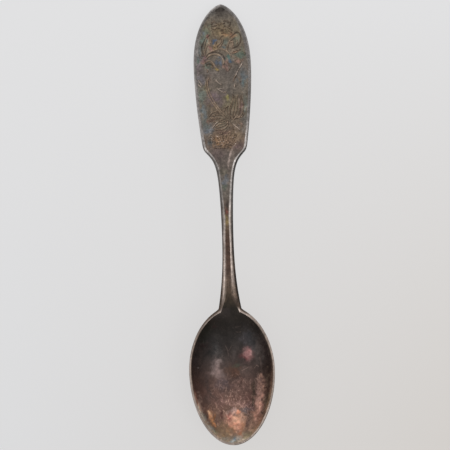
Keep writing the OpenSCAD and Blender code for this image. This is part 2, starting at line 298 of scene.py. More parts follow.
RIGHT_LOOP = (
    (2.5, 129.3, 1.1, 0.9, 1.1, 0.7, 0.9, -0.2, 0.4, -1.1, -0.1, -1.5, -0.6, -1.2, -0.9, -0.6, -1.3, -0.5),
    (1.9, 126.9, 0.5, 1, 0.8, 0.9, 1, 0.5), (1.6, 125.2, 0.2, 1.2, 0.3, 0.8),
    (2.6, 127.6, 0.8, 0.3, 0.2, -0.8, -0.4, -0.4), (4.4, 128.6, 0.6, -0.8, -0.5, -0.7),
)
ARCHES = (
    (-5.2, 123.5, 0.8, 1, 1.6, 0.7, 1.7, 0.5, 1.6, -0.2, 1.4, -0.8, 0.9, -1.3),
    (-4.1, 124.5, 1.6, 0.4, 1.5, -0.4, 1.2, -0.8, 0.5, -1.2),
    (-5, 122.8, 0.8, 0.8, 1, 0.4, 1.3, 0.1, 1.3, -0.6, 0.8, -1, 0.3, -1.1, -0.3, -0.9),
    (-5.6, 121.3, 0.8, 0.6, 1.1, 0, 0.8, -0.7, 0.6, -1, 0.9, -1.2),
    (-5.2, 120.6, 0.7, 0.5, 0.9, -0.1, 0.6, -0.8),
)
RIGHT_SPRIG = (
    (2.7, 124.3, 0.9, 0.5, 0.9, 0.3, 1.5, 0.3), (3.1, 124.1, 1.1, 0.3, 0.9, 0.4),
    (3.5, 123.6, 0.9, -0.6, 1.2, -0.5, 0.9, -0.8), (3.2, 123.2, 0.8, -0.7, 0.1, -1, 0.9, -0.8),
    (6.6, 125, 0.6, -0.6, -0.2, -0.7), (4.1, 122.4, 0.9, 0.1, 0.8, -0.6, -0.2, -0.9),
    (6.3, 120.8, -0.9, -1.3, -0.9, -1.6, -0.6, -1.5),
)
LOWER_LEFT = (
    (-6.7, 123.7, 0.9, 0.1, 0.6, -0.5), (-6.4, 122.7, 0.6, -0.3, 0.3, -0.8),
    (-6.8, 121.4, 0.6, -0.4, 0.5, -0.7), (-7.6, 124.3, 0.5, -0.9, 0.6, -0.5),
    (-5.3, 119.5, 0.6, -0.5, -0.3, -0.7), (-2.1, 119.8, 0.3, -0.7, 0.6, -0.5),
    (0.2, 120.8, 0.5, -1, 0.8, -1.1, 0.8, 0.7, 0.5, 0.9), (1, 121.7, 0.9, -0.6, 0.7, -0.9),
)
STALK = (
    (-4.3, 116.8, -0.5, -1.2, 0, -1.7, 0.6, -2.3, 1.2, -2.5, 1.4, -2.2, 1.5, -1.8, 1.8, -1.8),
    (-5.2, 115.9, -0.2, -1.8, 0.5, -2.5, 1.1, -2.5, 1.5, -2.2, 1.7, -2.1, 1.7, -1.8),
    (4.2, 117.4, -0.7, -1.3, -0.2, -0.9), (4.5, 116.9, 0.6, -0.9, 0.4, -1.1),
)
TICKS = (
    (-2.2, 115.9, 0.7, -0.9, 1, -0.7), (-2, 113.3, 1.2, -1, 0.9, -0.4, 0.8, 0), (-1.4, 113, 1.2, 0),
    (-7.8, 116, 0.6, -0.9, 0.7, -0.9), (-8.2, 115.1, 0.8, -1, 0.7, -0.4), (3.7, 114.5, 0, -1),
    (2.7, 101.8, 1.2, -1.1, 1, -0.9), (-3.7, 100.7, 0.8, 1, 0.8, 0.8),
)
FERN = (
    (2.1, 103.3, -0.2, 2, 0.6, 2.3, 0.4, 1.9, 0.2, 1.8), (2.5, 103.3, 0.5, 2.3, 0.5, 2.7, 0.1, 2.3),
    (2.6, 103.3, 1.1, 1.9, 0.6, 2.3, -0.1, 2, 0.4, 1.4), (2.9, 103.1, 1.5, 1.4, 0.8, 2.2, 0, 2.1, 0.4, 2),
    (3, 103.1, 2.4, 1.3, 0.8, 2, -0.1, 1.8, -0.4, 1.8), (3, 103.1, -0.6, 0.9, -0.6, 0.7),
    (3, 103.1, 0.8, 0.8, 0.6, 0.3), (2, 103.8, -0.9, 1.5, -0.3, 1.2, 0.7, 1.1),
    (-0.1, 106, 0.6, 0.9, 0.8, 0.7), (1.7, 104.5, 0.1, 2, 0.5, 1.8), (-0.2, 105.4, 0.4, 0.9, -0.2, 0.9),
    (-1, 106.9, 0.6, -0.9, 0.7, -1), (3.4, 103.7, 1.3, 0, 1.3, 0.5, 0.4, 1),
)
LEAF_VEINS = (
    (-4.7, 104.1, 0.6, 1.1, 1.3, 0.7, 1.2, 0.1), (-4.7, 104.1, 0.8, -0.3, 1.6, 0.1, 1.3, -0.2),
    (-3.8, 104.7, 1.6, 0.5, 1.3, 0.2), (-4.1, 104.2, 1.5, 0.5, 1.9, -0.1),
    (-3.5, 105.5, 1.3, 0.2, 0.9, -0.1), (-4.4, 104, 0.7, -0.6, 1.4, 0, 0.9, -0.3),
    (-4.7, 103.1, 1, -0.4, 1.4, -0.2), (-2.1, 102.4, 0.7, 0.5, 1.3, 0.4),
    (-3.6, 100.8, 0.9, -0.7, 1.7, -0.1, 1.4, 0.6, 1, 1.1), (-2.8, 101, 1.4, 0.8, 1.5, 0.2),
    (-2.4, 100.7, 1.4, 0.3, 1.7, 0.7), (-1.7, 102.4, 1.2, 0.2, 1.4, 0.3),
    (1.3, 102.9, -0.2, -1.2, 0.5, -1.1), (1.8, 102.1, 0.6, -1.1, 0.4, -1.1),
    (4.4, 102.2, 0.9, -0.5, 0.2, -0.8), (0.3, 102.9, 0.4, -0.8, 0.5, 0.2),
)
# Punched dots: across, from the toe, radius
DOTS = (
    (0.3, 131.7, 0.53), (1.2, 133, 0.27), (2.5, 133.2, 0.18), (0.8, 133.9, 0.21), (2.2, 134.3, 0.15),
    (-3.1, 132.4, 0.21), (-1.6, 133.2, 0.17), (-1.9, 134.3, 0.18), (2.8, 132, 0.18), (-2.9, 133.4, 0.14),
    (0.1, 129.8, 0.12), (1.1, 126.9, 0.21), (-7.2, 124, 0.18), (-0.8, 130.5, 0.11), (-3, 134.2, 0.24),
    (2.9, 134, 0.26), (3.2, 130.8, 0.24), (-2.7, 131.2, 0.22), (0.9, 134.6, 0.2), (-0.6, 134.4, 0.17),
)
# Groups of lines with their width in mm and how bright the cut metal is, from dark tarnish to clean metal
ENGRAVED = (
    (PETALS, 0.42, 0.3), (LEFT_LEAF[:1], 0.42, 0), (LEFT_LEAF[1:], 0.42, 0.6), (CROWN, 0.45, 0.6),
    (RIGHT_LOOP[:1], 0.45, 0.1), (RIGHT_LOOP[1:], 0.42, 0.65), (ARCHES[:1], 0.55, 0.65),
    (ARCHES[1:2], 0.4, 0), (ARCHES[2:4], 0.5, 0.85), (ARCHES[4:], 0.4, 0), (RIGHT_SPRIG[:6], 0.4, 0.5),
    (RIGHT_SPRIG[6:], 0.24, 1.5), (LOWER_LEFT, 0.36, 0.5), (FERN, 0.3, 0.7), (LEAF_VEINS, 0.3, 0.75),
    (STALK[:2], 0.36, 1), (STALK[2:], 0.3, 0.8), (TICKS, 0.27, 1.45),
)
LINE_DEPTH = 0.13
# The painted shadow beside each engraved line: how far it's shifted to one side, and how much wider than the
# line it is
SHADE_SHIFT = 0.16
SHADE_WIDER = 1.15
TAPER_SPEED = 7
CURVE_STEPS = 5
# The ground of small curls and points: width and brightness of a curl, then its place, counts and sizes
CURL_LOOK = (0.3, 0.7)
CURL_RADIUS = (0.28, 0.62)
CURL_TURN = (2.2, 4.2)
GROUND_MIDDLE = (-0.4, 96.9)
GROUND_HALF = (4.6, 3.0)
GROUND_ROUND = 1.1
GROUND_CURLS = 60
GROUND_POINTS = 56
POINT_RADIUS = (0.09, 0.16)
BIG_POINT = 0.15
# How steeply dots and points rise, and how clean a big point can be
DOT_PEAK = 1.3
POINT_PEAK = 1.9
BIG_POINT_CLEAN = 1.6


def in_ground(a, b):
    """The place at two shares, from -1 to 1, of the ground's half widths."""
    return GROUND_MIDDLE[0] + a * GROUND_HALF[0], GROUND_MIDDLE[1] + b * GROUND_HALF[1]


def ground():
    """Small curled strokes and points that fill the ground above the shoulders."""
    rng = np.random.default_rng(GROUND_SEED)
    lines, points = [], []
    while len(lines) < GROUND_CURLS:
        a, b = rng.uniform(-1, 1, 2)
        if a * a + b * b > GROUND_ROUND:
            continue
        x, s = in_ground(a, b)
        r, start, turn = rng.uniform(*CURL_RADIUS), rng.uniform(0, 2 * math.pi), rng.uniform(*CURL_TURN)
        angles = start + turn * np.linspace(0, 1, 7)
        lines.append(np.stack([x + r * np.cos(angles), s + r * np.sin(angles)], -1))
    for _ in range(GROUND_POINTS):
        a, b = rng.uniform(-0.9, 0.9, 2)
        points.append((*in_ground(a, b), rng.uniform(*POINT_RADIUS)))
    return lines, points


def places(line):
    """The places of a line that is written in steps."""
    return np.cumsum(np.reshape(line, (-1, 2)), axis=0)


def smooth_line(p):
    """More places along a line, on a cubic curve through the given ones."""
    p = np.concatenate([p[:1], p, p[-1:]])
    out = []
    for a, b, c, d in zip(p, p[1:], p[2:], p[3:]):
        for t in np.arange(CURVE_STEPS) / CURVE_STEPS:
            bend = (2 * a - 5 * b + 4 * c - d) * t * t + (3 * b - a - 3 * c + d) * t ** 3
            out.append(0.5 * (2 * b + (c - a) * t + bend))
    out.append(p[-1])
    return np.array(out)


def line_field(x, s, line, width):
    """How deep each place lies in a tapered cut along the line, from 0 to 1."""
    cut = np.zeros_like(x)
    p = smooth_line(line)
    near = ((x > p[:, 0].min() - width) & (x < p[:, 0].max() + width)
            & (s > p[:, 1].min() - width) & (s < p[:, 1].max() + width))
    if near.any():
        q = np.stack([x[near], s[near]], 1)
        best = np.full(len(q), np.inf)
        for k, (a, b) in enumerate(zip(p, p[1:])):
            d = b - a
            t = np.clip(((q - a) @ d) / max(1e-9, d @ d), 0, 1)
            along = (k + t) / (len(p) - 1)
            taper = 0.5 + 0.5 * np.minimum(1, TAPER_SPEED * np.minimum(along, 1 - along))
            best = np.minimum(best, np.hypot(*(q - a - t[:, None] * d).T) / taper)
        cut[near] = np.clip(1 - (best / (width / 2)) ** 2, 0, 1)
    return cut


def engraving(x, s):
    """Depth, clean metal, and dark stain with painted shade of the engraved lines at places on the blade,
    each from 0 to 1.
    """
    deep, clean, stain_and_shade = np.zeros_like(x), np.zeros_like(x), np.zeros_like(x)
    ground_lines, ground_points = ground()
    groups = [([places(line) for line in lines], *look) for lines, *look in ENGRAVED]
    for lines, width, brightness in groups + [(ground_lines, *CURL_LOOK)]:
        for line in lines:
            cut = line_field(x, s, line, width)
            # shade is a painted shadow of the groove's wall, shifted to one side of the line
            shade = line_field(x - SHADE_SHIFT, s + SHADE_SHIFT, line, width * SHADE_WIDER) * (1 - cut)
            deep = np.maximum(deep, cut)
            stain_and_shade = np.maximum(stain_and_shade * (1 - cut), np.maximum(shade, cut * (1 - min(1, brightness))))
            clean = np.maximum(clean * (1 - shade), cut * brightness)
    for px, ps, radius in DOTS:
        punched = np.clip(DOT_PEAK - np.hypot(x - px, s - ps) ** 2 / radius ** 2, 0, 1)
        deep, stain_and_shade, clean = np.maximum(deep, punched), np.maximum(stain_and_shade, punched), clean * (1 - punched)
    for px, ps, radius in ground_points:
        point = POINT_PEAK * (1 - np.hypot(x - px, s - ps) ** 2 / radius ** 2)
        clean = np.maximum(clean, np.clip(point, 0, BIG_POINT_CLEAN if radius > BIG_POINT else 1))
    return deep, clean, stain_and_shade


# Scratches in the dish: a line and the strength
BOWL_SCRATCHES = (
    (-1.9, 31.6, 0.7, -1.6, 0.2, -1.8, 0.3), (0.1, 31.4, -0.6, -1, -0.5, -0.8, 0.3),
    (1.6, 35.8, 1, -0.1, 0.8, 0.2, 0.25), (1.4, 37.4, 1, 0.1, 1, 0.3, 0.2),
    (3, 23.4, 1.2, 0.5, 1.2, 0.7, 0.5), (7.2, 24.2, 0.7, 0.8, 0.7, -0.6, 0.5),
    (8.2, 22.6, 0.5, -1.2, 0.1, -1.4, 0.6), (2.4, 10.4, 2.6, -1, 2.8, -1, 0.5),
    (0.6, 13.6, 1.8, -1.2, 1, -1.4, 0.6), (8.9, 27.6, 0.2, -1.6, 0.1, -1.6, 0.3),
    (-0.8, 17.4, 1.2, -0.8, 1, -0.4, 0.6), (-2.4, 15.6, 1.2, -0.3, 1.4, 0.2, 0.6),
)
# Regions of fine scratches: middle across, from the toe, half widths across and along, count
SCRATCH_REGIONS = ((1.2, 13, 9, 9.5, 290), (8.6, 17, 1.8, 7, 60))
SCRATCH_WIDTH = 0.19
SCRATCH_LENGTH = (0.5, 2.4)
SCRATCH_BEND = (-0.8, 0.8)
SCRATCH_STRENGTH = (0.2, 0.85)
SCRATCH_FADE = (1.1, 0.6)


def scratches(x, s):
    """Fine bright scratches in the dish, which fade towards the edge of their region."""
    rng = np.random.default_rng(SCRATCH_SEED)
    marks = np.zeros_like(x)
    lines = [(places(row[:-1]), row[-1]) for row in BOWL_SCRATCHES]
    for middle_x, middle_s, half_x, half_s, count in SCRATCH_REGIONS:
        for _ in range(count):
            a, r = rng.uniform(0, 2 * math.pi), math.sqrt(rng.random())
            x0, s0 = middle_x + half_x * r * math.cos(a), middle_s + half_s * r * math.sin(a)
            turn, length = rng.uniform(0, math.pi), rng.uniform(*SCRATCH_LENGTH)
            bend = rng.uniform(*SCRATCH_BEND)
            t = np.array((-0.5, 0, 0.5))
            angles = turn + bend * t
            line = np.stack([x0 + length * t * np.cos(angles), s0 + length * t * np.sin(angles)], -1)
            lines.append((line, rng.uniform(*SCRATCH_STRENGTH) * (SCRATCH_FADE[0] - SCRATCH_FADE[1] * r)))
    for line, strength in lines:
        marks = np.maximum(marks, strength * line_field(x, s, line, SCRATCH_WIDTH))
    return marks


# Colours as seen, from 0 to 255. A row of stops is a place from the toe and then its colour

# Flat top of the neck, the stem and the blade
FLAT_STOPS = (
    (43, 30, 25, 20), (47, 55, 45, 35), (52, 85, 70, 60), (56, 75, 57, 48), (65, 70, 52, 43),
    (71, 95, 80, 65), (75, 80, 66, 57), (79, 98, 90, 83), (92, 95, 85, 79), (97, 105, 90, 79),
    (108, 105, 94, 81), (118, 98, 90, 84), (131, 110, 98, 82), (138, 90, 84, 79), (140, 105, 100, 96),
)
# The tones of an edge, from deep painted shade to bright worn metal with a painted highlight, and how much
# greyer they are on the blade
EDGE_TONES = (
    (30, 25, 20), (55, 45, 38), (80, 67, 58), (105, 92, 82), (130, 117, 109), (160, 146, 137),
    (190, 174, 164), (225, 209, 200),
)
BLADE_GREY = 0.6
# Each edge has an inner, a middle and an outer band, with its places from the toe and its tones there; the
# left and right tables paint the light and shade each band catches
LEFT_EDGE = (
    ((0, 20, 28, 36, 38.5, 42, 44, 48, 52, 57, 67, 72, 76, 91, 94, 102, 120, 128, 133, 137, 140),
     (4, 3.5, 2, 2.5, 5, 5, 3, 5, 6.5, 7, 7, 5, 4.5, 4.5, 5.5, 3.5, 3.5, 4.5, 3, 3, 4)),
    ((0, 13, 28, 36, 38.5, 44, 48, 52, 57, 67, 72, 76, 81, 91, 94, 97, 102, 109, 112, 120, 128, 133, 140),
     (4, 4.5, 5.5, 5, 3.5, 2, 3, 4.5, 6, 6, 3.5, 3, 4, 3, 6.5, 4.5, 5, 4, 5, 4, 5, 3, 4.5)),
    ((0, 13, 28, 36, 38.5, 44, 50, 57, 62, 70, 76, 94, 97, 102, 109, 112, 120, 133, 140),
     (4.5, 4.5, 4.5, 3.5, 2.5, 1.5, 1, 1.5, 2, 1.5, 2, 2.5, 4.5, 5, 4.5, 5, 4.5, 4, 5.5)),
)
RIGHT_EDGE = (
    ((0, 9, 15, 22, 29, 38.5, 41, 43, 44, 48, 52, 57, 67, 72, 76, 82, 90, 93, 97, 100, 106, 122, 140),
     (3.5, 4, 3, 2, 2.5, 3.5, 6, 6, 1, 2, 4, 6, 6, 6.5, 6.5, 5.5, 7, 4.5, 6.5, 4.5, 4, 3.5, 3.5)),
    ((0, 22, 29, 36, 41, 44, 50, 57, 62, 72, 82, 93, 95, 97, 100, 103, 106, 131, 135, 140),
     (4, 4.5, 5.5, 5, 5, 1.5, 1, 2, 1, 1.5, 2.5, 2.5, 7, 5.5, 6, 5, 4, 4, 3.5, 4)),
    ((0, 9, 15, 22, 29, 36, 41, 43, 44, 53, 57, 62, 82, 90, 93, 95, 97, 103, 117, 126, 140),
     (3, 2.5, 2.5, 4.5, 5, 4, 4.5, 1, 0, 0, 1.5, 0.5, 1.5, 0, 0.5, 2.5, 3.5, 3, 3.5, 4.5, 4)),
)
# The dish, lighter at the toe and near black at the neck: tarnish with painted shade and reflection in it
DISH_STOPS = (
    (0, 135, 120, 105), (6, 118, 93, 78), (15, 95, 70, 62), (27, 55, 46, 43), (34, 43, 39, 37),
    (43.5, 30, 25, 20),
)
BACK_STOPS = (
    (0, 104, 84, 70), (24, 92, 78, 68), (45, 84, 72, 64), (70, 96, 82, 70), (140, 104, 92, 82),
)
CUT_COLOUR = (164, 140, 118)
# Dark stain in cuts and dots, also used as the painted shadow beside the engraved lines
STAIN_AND_SHADE_COLOUR = (50, 38, 32)
SCRATCH_COLOUR = (212, 174, 157)
PALE_COLOUR = (200, 192, 187)
WALL_SHADE_COLOUR = (50, 42, 40)
# The walls of the dish start where it's this hollow. The left one has painted shade from a place on, over a
# run
WALL_HOLLOW, WALL_SLOPE = 1.1, 4
WALL_SHADE, SHADE_PLACE, SHADE_RUN = 0.5, 17, 8
WALL_LIGHT_TINT = (0.94, 1, 0.92)
STAIN_AND_SHADE_STRENGTH = 0.64
CUT_STRENGTH = 0.74
PALE_SLOPE, PALE_START = 1.6, 1.5
HIGHLIGHT_PEAK, LEAST_HIGHLIGHT_REACH = 1.4, 0.01
# Clouds break up the edges of a patch, its strength and the strength of a streak
SHIFT_CLOUD, SHIFT_REACH = 1.3, 3.2
PATCH_CLOUD, PATCH_LEAST, PATCH_MORE = 0.7, 0.55, 0.8
PATCH_REACH, PATCH_SOFTNESS, PATCH_POWER = 2.2, 1.1, 1.4
DISH_SPREAD = 1.15
STREAK_CLOUD, STREAK_SLOPE, STREAK_START = 0.6, 4.2, 1.1
DISH_GAIN = 1.2
PLATE_GAIN = 1.16
FINE_CLOUD, DISH_MOTTLE, PLATE_MOTTLE = 0.8, 0.3, 0.44
BROAD_CLOUD, BROAD_MOTTLE = 3.1, 0.16
DARKEST, LIGHTEST = 4, 250
# In each of the next tables the first row holds places from the toe, and the second one values there
# How much painted light is added to the walls of the dish near its rim
RIGHT_WALL_LIGHT = ((0, 5, 10, 15, 26, 33, 38, 41), (0.3, 0.7, 0.95, 1.7, 1.7, 1.3, 0.5, 0))
LEFT_WALL_LIGHT = ((0, 5, 8, 13, 17, 21), (0.3, 0.8, 1.1, 1.9, 1.2, 0))
# How far the painted highlight along an edge reaches onto the flat
RIGHT_HIGHLIGHT_REACH = ((43.5, 44, 48, 52, 57, 62, 68, 72, 76, 84, 88, 91, 95, 120, 124, 132, 136),
             (0, 0.4, 0.6, 0.35, 0.2, 0.1, 0.25, 0.4, 0.32, 0.26, 0.16, 0.45, 0, 0, 0.6, 0.6, 0))
LEFT_HIGHLIGHT_REACH = ((68, 72, 76, 80, 85, 88, 91, 94, 120, 124, 130, 134),
            (0, 0.3, 0.1, 0, 0, 0.25, 0.1, 0, 0, 0.4, 0.5, 0))
# How much of the inner band carries the painted highlight
LEFT_BRIGHT = ((44, 48, 52, 57, 66, 71), (1, 0.45, 0.35, 0.3, 0.5, 1))
RIGHT_BRIGHT = ((67, 71.5, 76, 82, 88, 91), (1, 0.6, 0.8, 1, 0.75, 1))
# Wide soft streaks, mostly in the dish: line, width, colour, strength. The pale pink and peach ones are
# painted reflections, the others tarnish
STREAKS_AND_REFLECTIONS = (
    ((9, 22, 0.3, -3, -0.1, -3.5, -0.9, -4.3, -1.2, -3.6, -1.9, -3), 3.3, (180, 140, 122), 0.42),
    ((9.4, 16.5, -0.5, -3, -0.9, -3, -1, -2.5), 1.1, (220, 166, 146), 0.6),
    ((-8.1, 11.2, 0.5, -1, 0.5, -1), 1, (232, 186, 150), 0.8),
    ((-7.5, 9.8, 0.7, -1.6, 1.1, -2.2), 1.1, (190, 130, 90), 0.8),
    ((-10.9, 13.5, 1, -3.3, 1.6, -3.2, 1.9, -2.4), 1.9, (128, 122, 116), 0.85),
    ((-3.6, 14.5, 2.6, -1.5, 2.6, 0.2, 2, -1.2), 2.2, (136, 105, 97), 0.4),
    ((-1.8, 8.4, 2.2, 2, 1.5, 0.2), 0.8, (226, 176, 156), 0.5),
    ((0.2, 5.2, 1, 2, 0.4, 1.8), 1.6, (220, 162, 134), 0.5),
    ((6.8, 20, 0, -4, -0.6, -4), 1, (58, 46, 38), 0.6),
    ((-6.9, 12.5, 0.9, -3.5, 1.4, -2.6), 1.2, (84, 60, 52), 0.5),
    ((4.6, 12.5, 0.2, -3.5, -0.8, -3.4), 1.3, (84, 62, 56), 0.5),
    ((-8.2, 22.5, 0.2, -3.5, 1, -3.5), 1.6, (60, 50, 48), 0.4),
    ((11.4, 24.5, 0.1, -3.5, -0.2, -3.5, -0.5, -4, -1, -3), 2.4, (108, 91, 78), 0.5),
    ((10.9, 31, 0.3, -3, 0.1, -3), 2, (66, 55, 53), 0.5),
    ((-11, 17, 0.5, -3, 0.8, -2.8), 2.4, (134, 112, 102), 0.65),
    ((3.5, 96, -0.9, -1.6, -0.7, -1.5, -0.6, -1.7, -0.3, -1.8, -0.1, -2.2), 0.85, (146, 131, 123), 0.85),
)
# Patches of colour: across, from the toe, half widths across and along, colour, strength
HANDLE_PATCHES = (
    (0.1, 137.9, 1.7, 1.1, 50, 44, 40, 0.95), (-0.1, 139.6, 0.6, 0.3, 150, 145, 140, 0.6),
    (-2.4, 137, 0.9, 0.9, 84, 82, 78, 0.5), (-4.8, 132, 1.3, 1.6, 112, 116, 98, 0.7),
    (-5.9, 128.9, 1.1, 3, 94, 109, 103, 0.8), (-6.1, 130.9, 0.5, 0.9, 100, 104, 118, 0.6),
    (-7.6, 124.1, 1.1, 3.8, 112, 118, 120, 0.7), (-7.9, 119.6, 1, 2.6, 122, 108, 113, 0.65),
    (-7.8, 121.9, 0.3, 0.9, 90, 112, 98, 0.6), (0.2, 131.2, 2.6, 2.2, 132, 112, 84, 0.6),
    (6.4, 132.4, 1.9, 3.8, 118, 113, 99, 0.65), (-2.4, 128.1, 0.8, 0.9, 68, 86, 116, 0.9),
    (3.1, 130.6, 0.7, 0.7, 124, 92, 72, 0.7), (1.3, 130.2, 0.9, 0.6, 152, 116, 86, 0.7),
    (1.3, 128.3, 0.6, 0.9, 86, 92, 86, 0.85), (1, 126.2, 0.5, 0.6, 82, 98, 104, 0.7),
    (4.6, 128.5, 1.3, 1.6, 112, 120, 106, 0.6), (3.3, 127.3, 0.9, 1.3, 132, 111, 94, 0.6),
    (4, 129.5, 0.9, 0.5, 172, 124, 92, 0.7), (-5, 127.2, 0.9, 1.9, 144, 122, 102, 0.6),
    (-4.4, 129.9, 0.4, 0.6, 148, 92, 88, 0.55), (-3.4, 125.9, 0.9, 0.9, 144, 106, 98, 0.7),
    (-1.5, 126.5, 0.8, 0.9, 144, 116, 76, 0.6), (7, 124.3, 0.9, 1.6, 80, 92, 78, 0.65),
    (4.5, 124.5, 0.8, 0.3, 166, 116, 92, 0.7), (5.7, 123.4, 1.9, 0.8, 82, 98, 88, 0.65),
    (5, 121.5, 1.1, 0.8, 140, 106, 94, 0.75), (1.9, 122.8, 0.9, 1, 76, 106, 100, 0.8),
    (2.9, 122.1, 0.6, 0.6, 74, 94, 120, 0.8), (-1, 121.5, 1.1, 1.1, 84, 94, 110, 0.85),
    (1.2, 120.4, 1.1, 1.2, 144, 110, 102, 0.8), (-6.1, 122.8, 0.8, 0.8, 126, 96, 100, 0.7),
    (-6.1, 121.5, 1, 0.6, 132, 100, 90, 0.6), (-4.6, 120.1, 0.9, 1.3, 84, 96, 84, 0.7),
    (-2, 119, 0.5, 0.5, 156, 134, 58, 0.9), (-3, 120.5, 0.8, 0.8, 134, 106, 76, 0.7),
    (6.3, 116.4, 1.1, 3.5, 90, 96, 99, 0.8), (6.7, 114.5, 0.6, 1.3, 92, 106, 106, 0.7),
    (-3.6, 109.7, 1.6, 2.5, 98, 84, 88, 0.7), (-1.4, 109.9, 1.6, 2.2, 98, 84, 90, 0.6),
    (-6.8, 110.8, 1.3, 2.9, 94, 106, 100, 0.65), (-6.3, 106, 1.3, 2.2, 98, 106, 110, 0.8),
    (-5.5, 99.9, 1.5, 1.9, 102, 108, 116, 0.75), (-4.5, 102.7, 0.8, 0.8, 96, 70, 64, 0.6),
    (1.2, 110.2, 0.3, 1, 150, 142, 82, 0.85), (6.3, 101.4, 1, 2.5, 86, 87, 87, 0.7),
    (6.9, 107.2, 0.8, 3.6, 106, 110, 104, 0.7), (0.7, 104.8, 3.2, 2.5, 112, 100, 84, 0.5),
    (-0.7, 101.7, 1.9, 1.6, 98, 94, 80, 0.5), (5.3, 101.6, 0.4, 0.5, 190, 158, 148, 0.85),
    (0.4, 96.5, 3.8, 2.5, 122, 96, 74, 0.6), (-2.6, 96.2, 1.3, 1, 142, 108, 76, 0.5),
    (3.6, 97.7, 1.9, 1.6, 120, 104, 84, 0.5), (-5, 96.1, 0.9, 1.6, 82, 90, 94, 0.7),
    (4.2, 94.5, 1.6, 1.1, 92, 74, 76, 0.6), (-2.6, 92.2, 1.9, 1.9, 92, 78, 76, 0.6),
    (-7.2, 116.2, 1.3, 1.6, 108, 104, 110, 0.6), (-4, 116.1, 0.9, 1.6, 104, 88, 78, 0.5),
    (2.9, 115.8, 1.6, 1.9, 98, 90, 84, 0.6), (1.9, 112.7, 2.5, 1.9, 92, 86, 82, 0.5),
    (-5.4, 113.6, 0.9, 1.9, 104, 96, 72, 0.5), (2.7, 108.2, 2.5, 1.9, 108, 100, 78, 0.5),
    (5.2, 107.5, 0.6, 2.2, 116, 88, 88, 0.6), (-3.4, 107.1, 0.9, 0.9, 110, 94, 74, 0.5),
    (-5.2, 101, 0.5, 0.5, 76, 66, 62, 0.6), (-0.1, 99.2, 2.2, 0.5, 88, 68, 62, 0.6),
    (-0.8, 86.9, 0.9, 1.4, 84, 80, 68, 0.6), (-0.3, 84.1, 0.9, 1.4, 98, 102, 108, 0.85),
    (-0.5, 81.6, 0.9, 1.3, 88, 96, 86, 0.8), (0.3, 76.2, 0.5, 0.8, 44, 38, 36, 0.85),
    (0.1, 74.1, 0.5, 0.9, 112, 64, 56, 0.8), (-0.4, 71.1, 0.9, 1.9, 122, 104, 70, 0.8),
    (0.9, 86.6, 0.6, 1.9, 104, 92, 84, 0.5), (-6.3, 102.3, 1, 1.8, 94, 101, 98, 0.75),
)
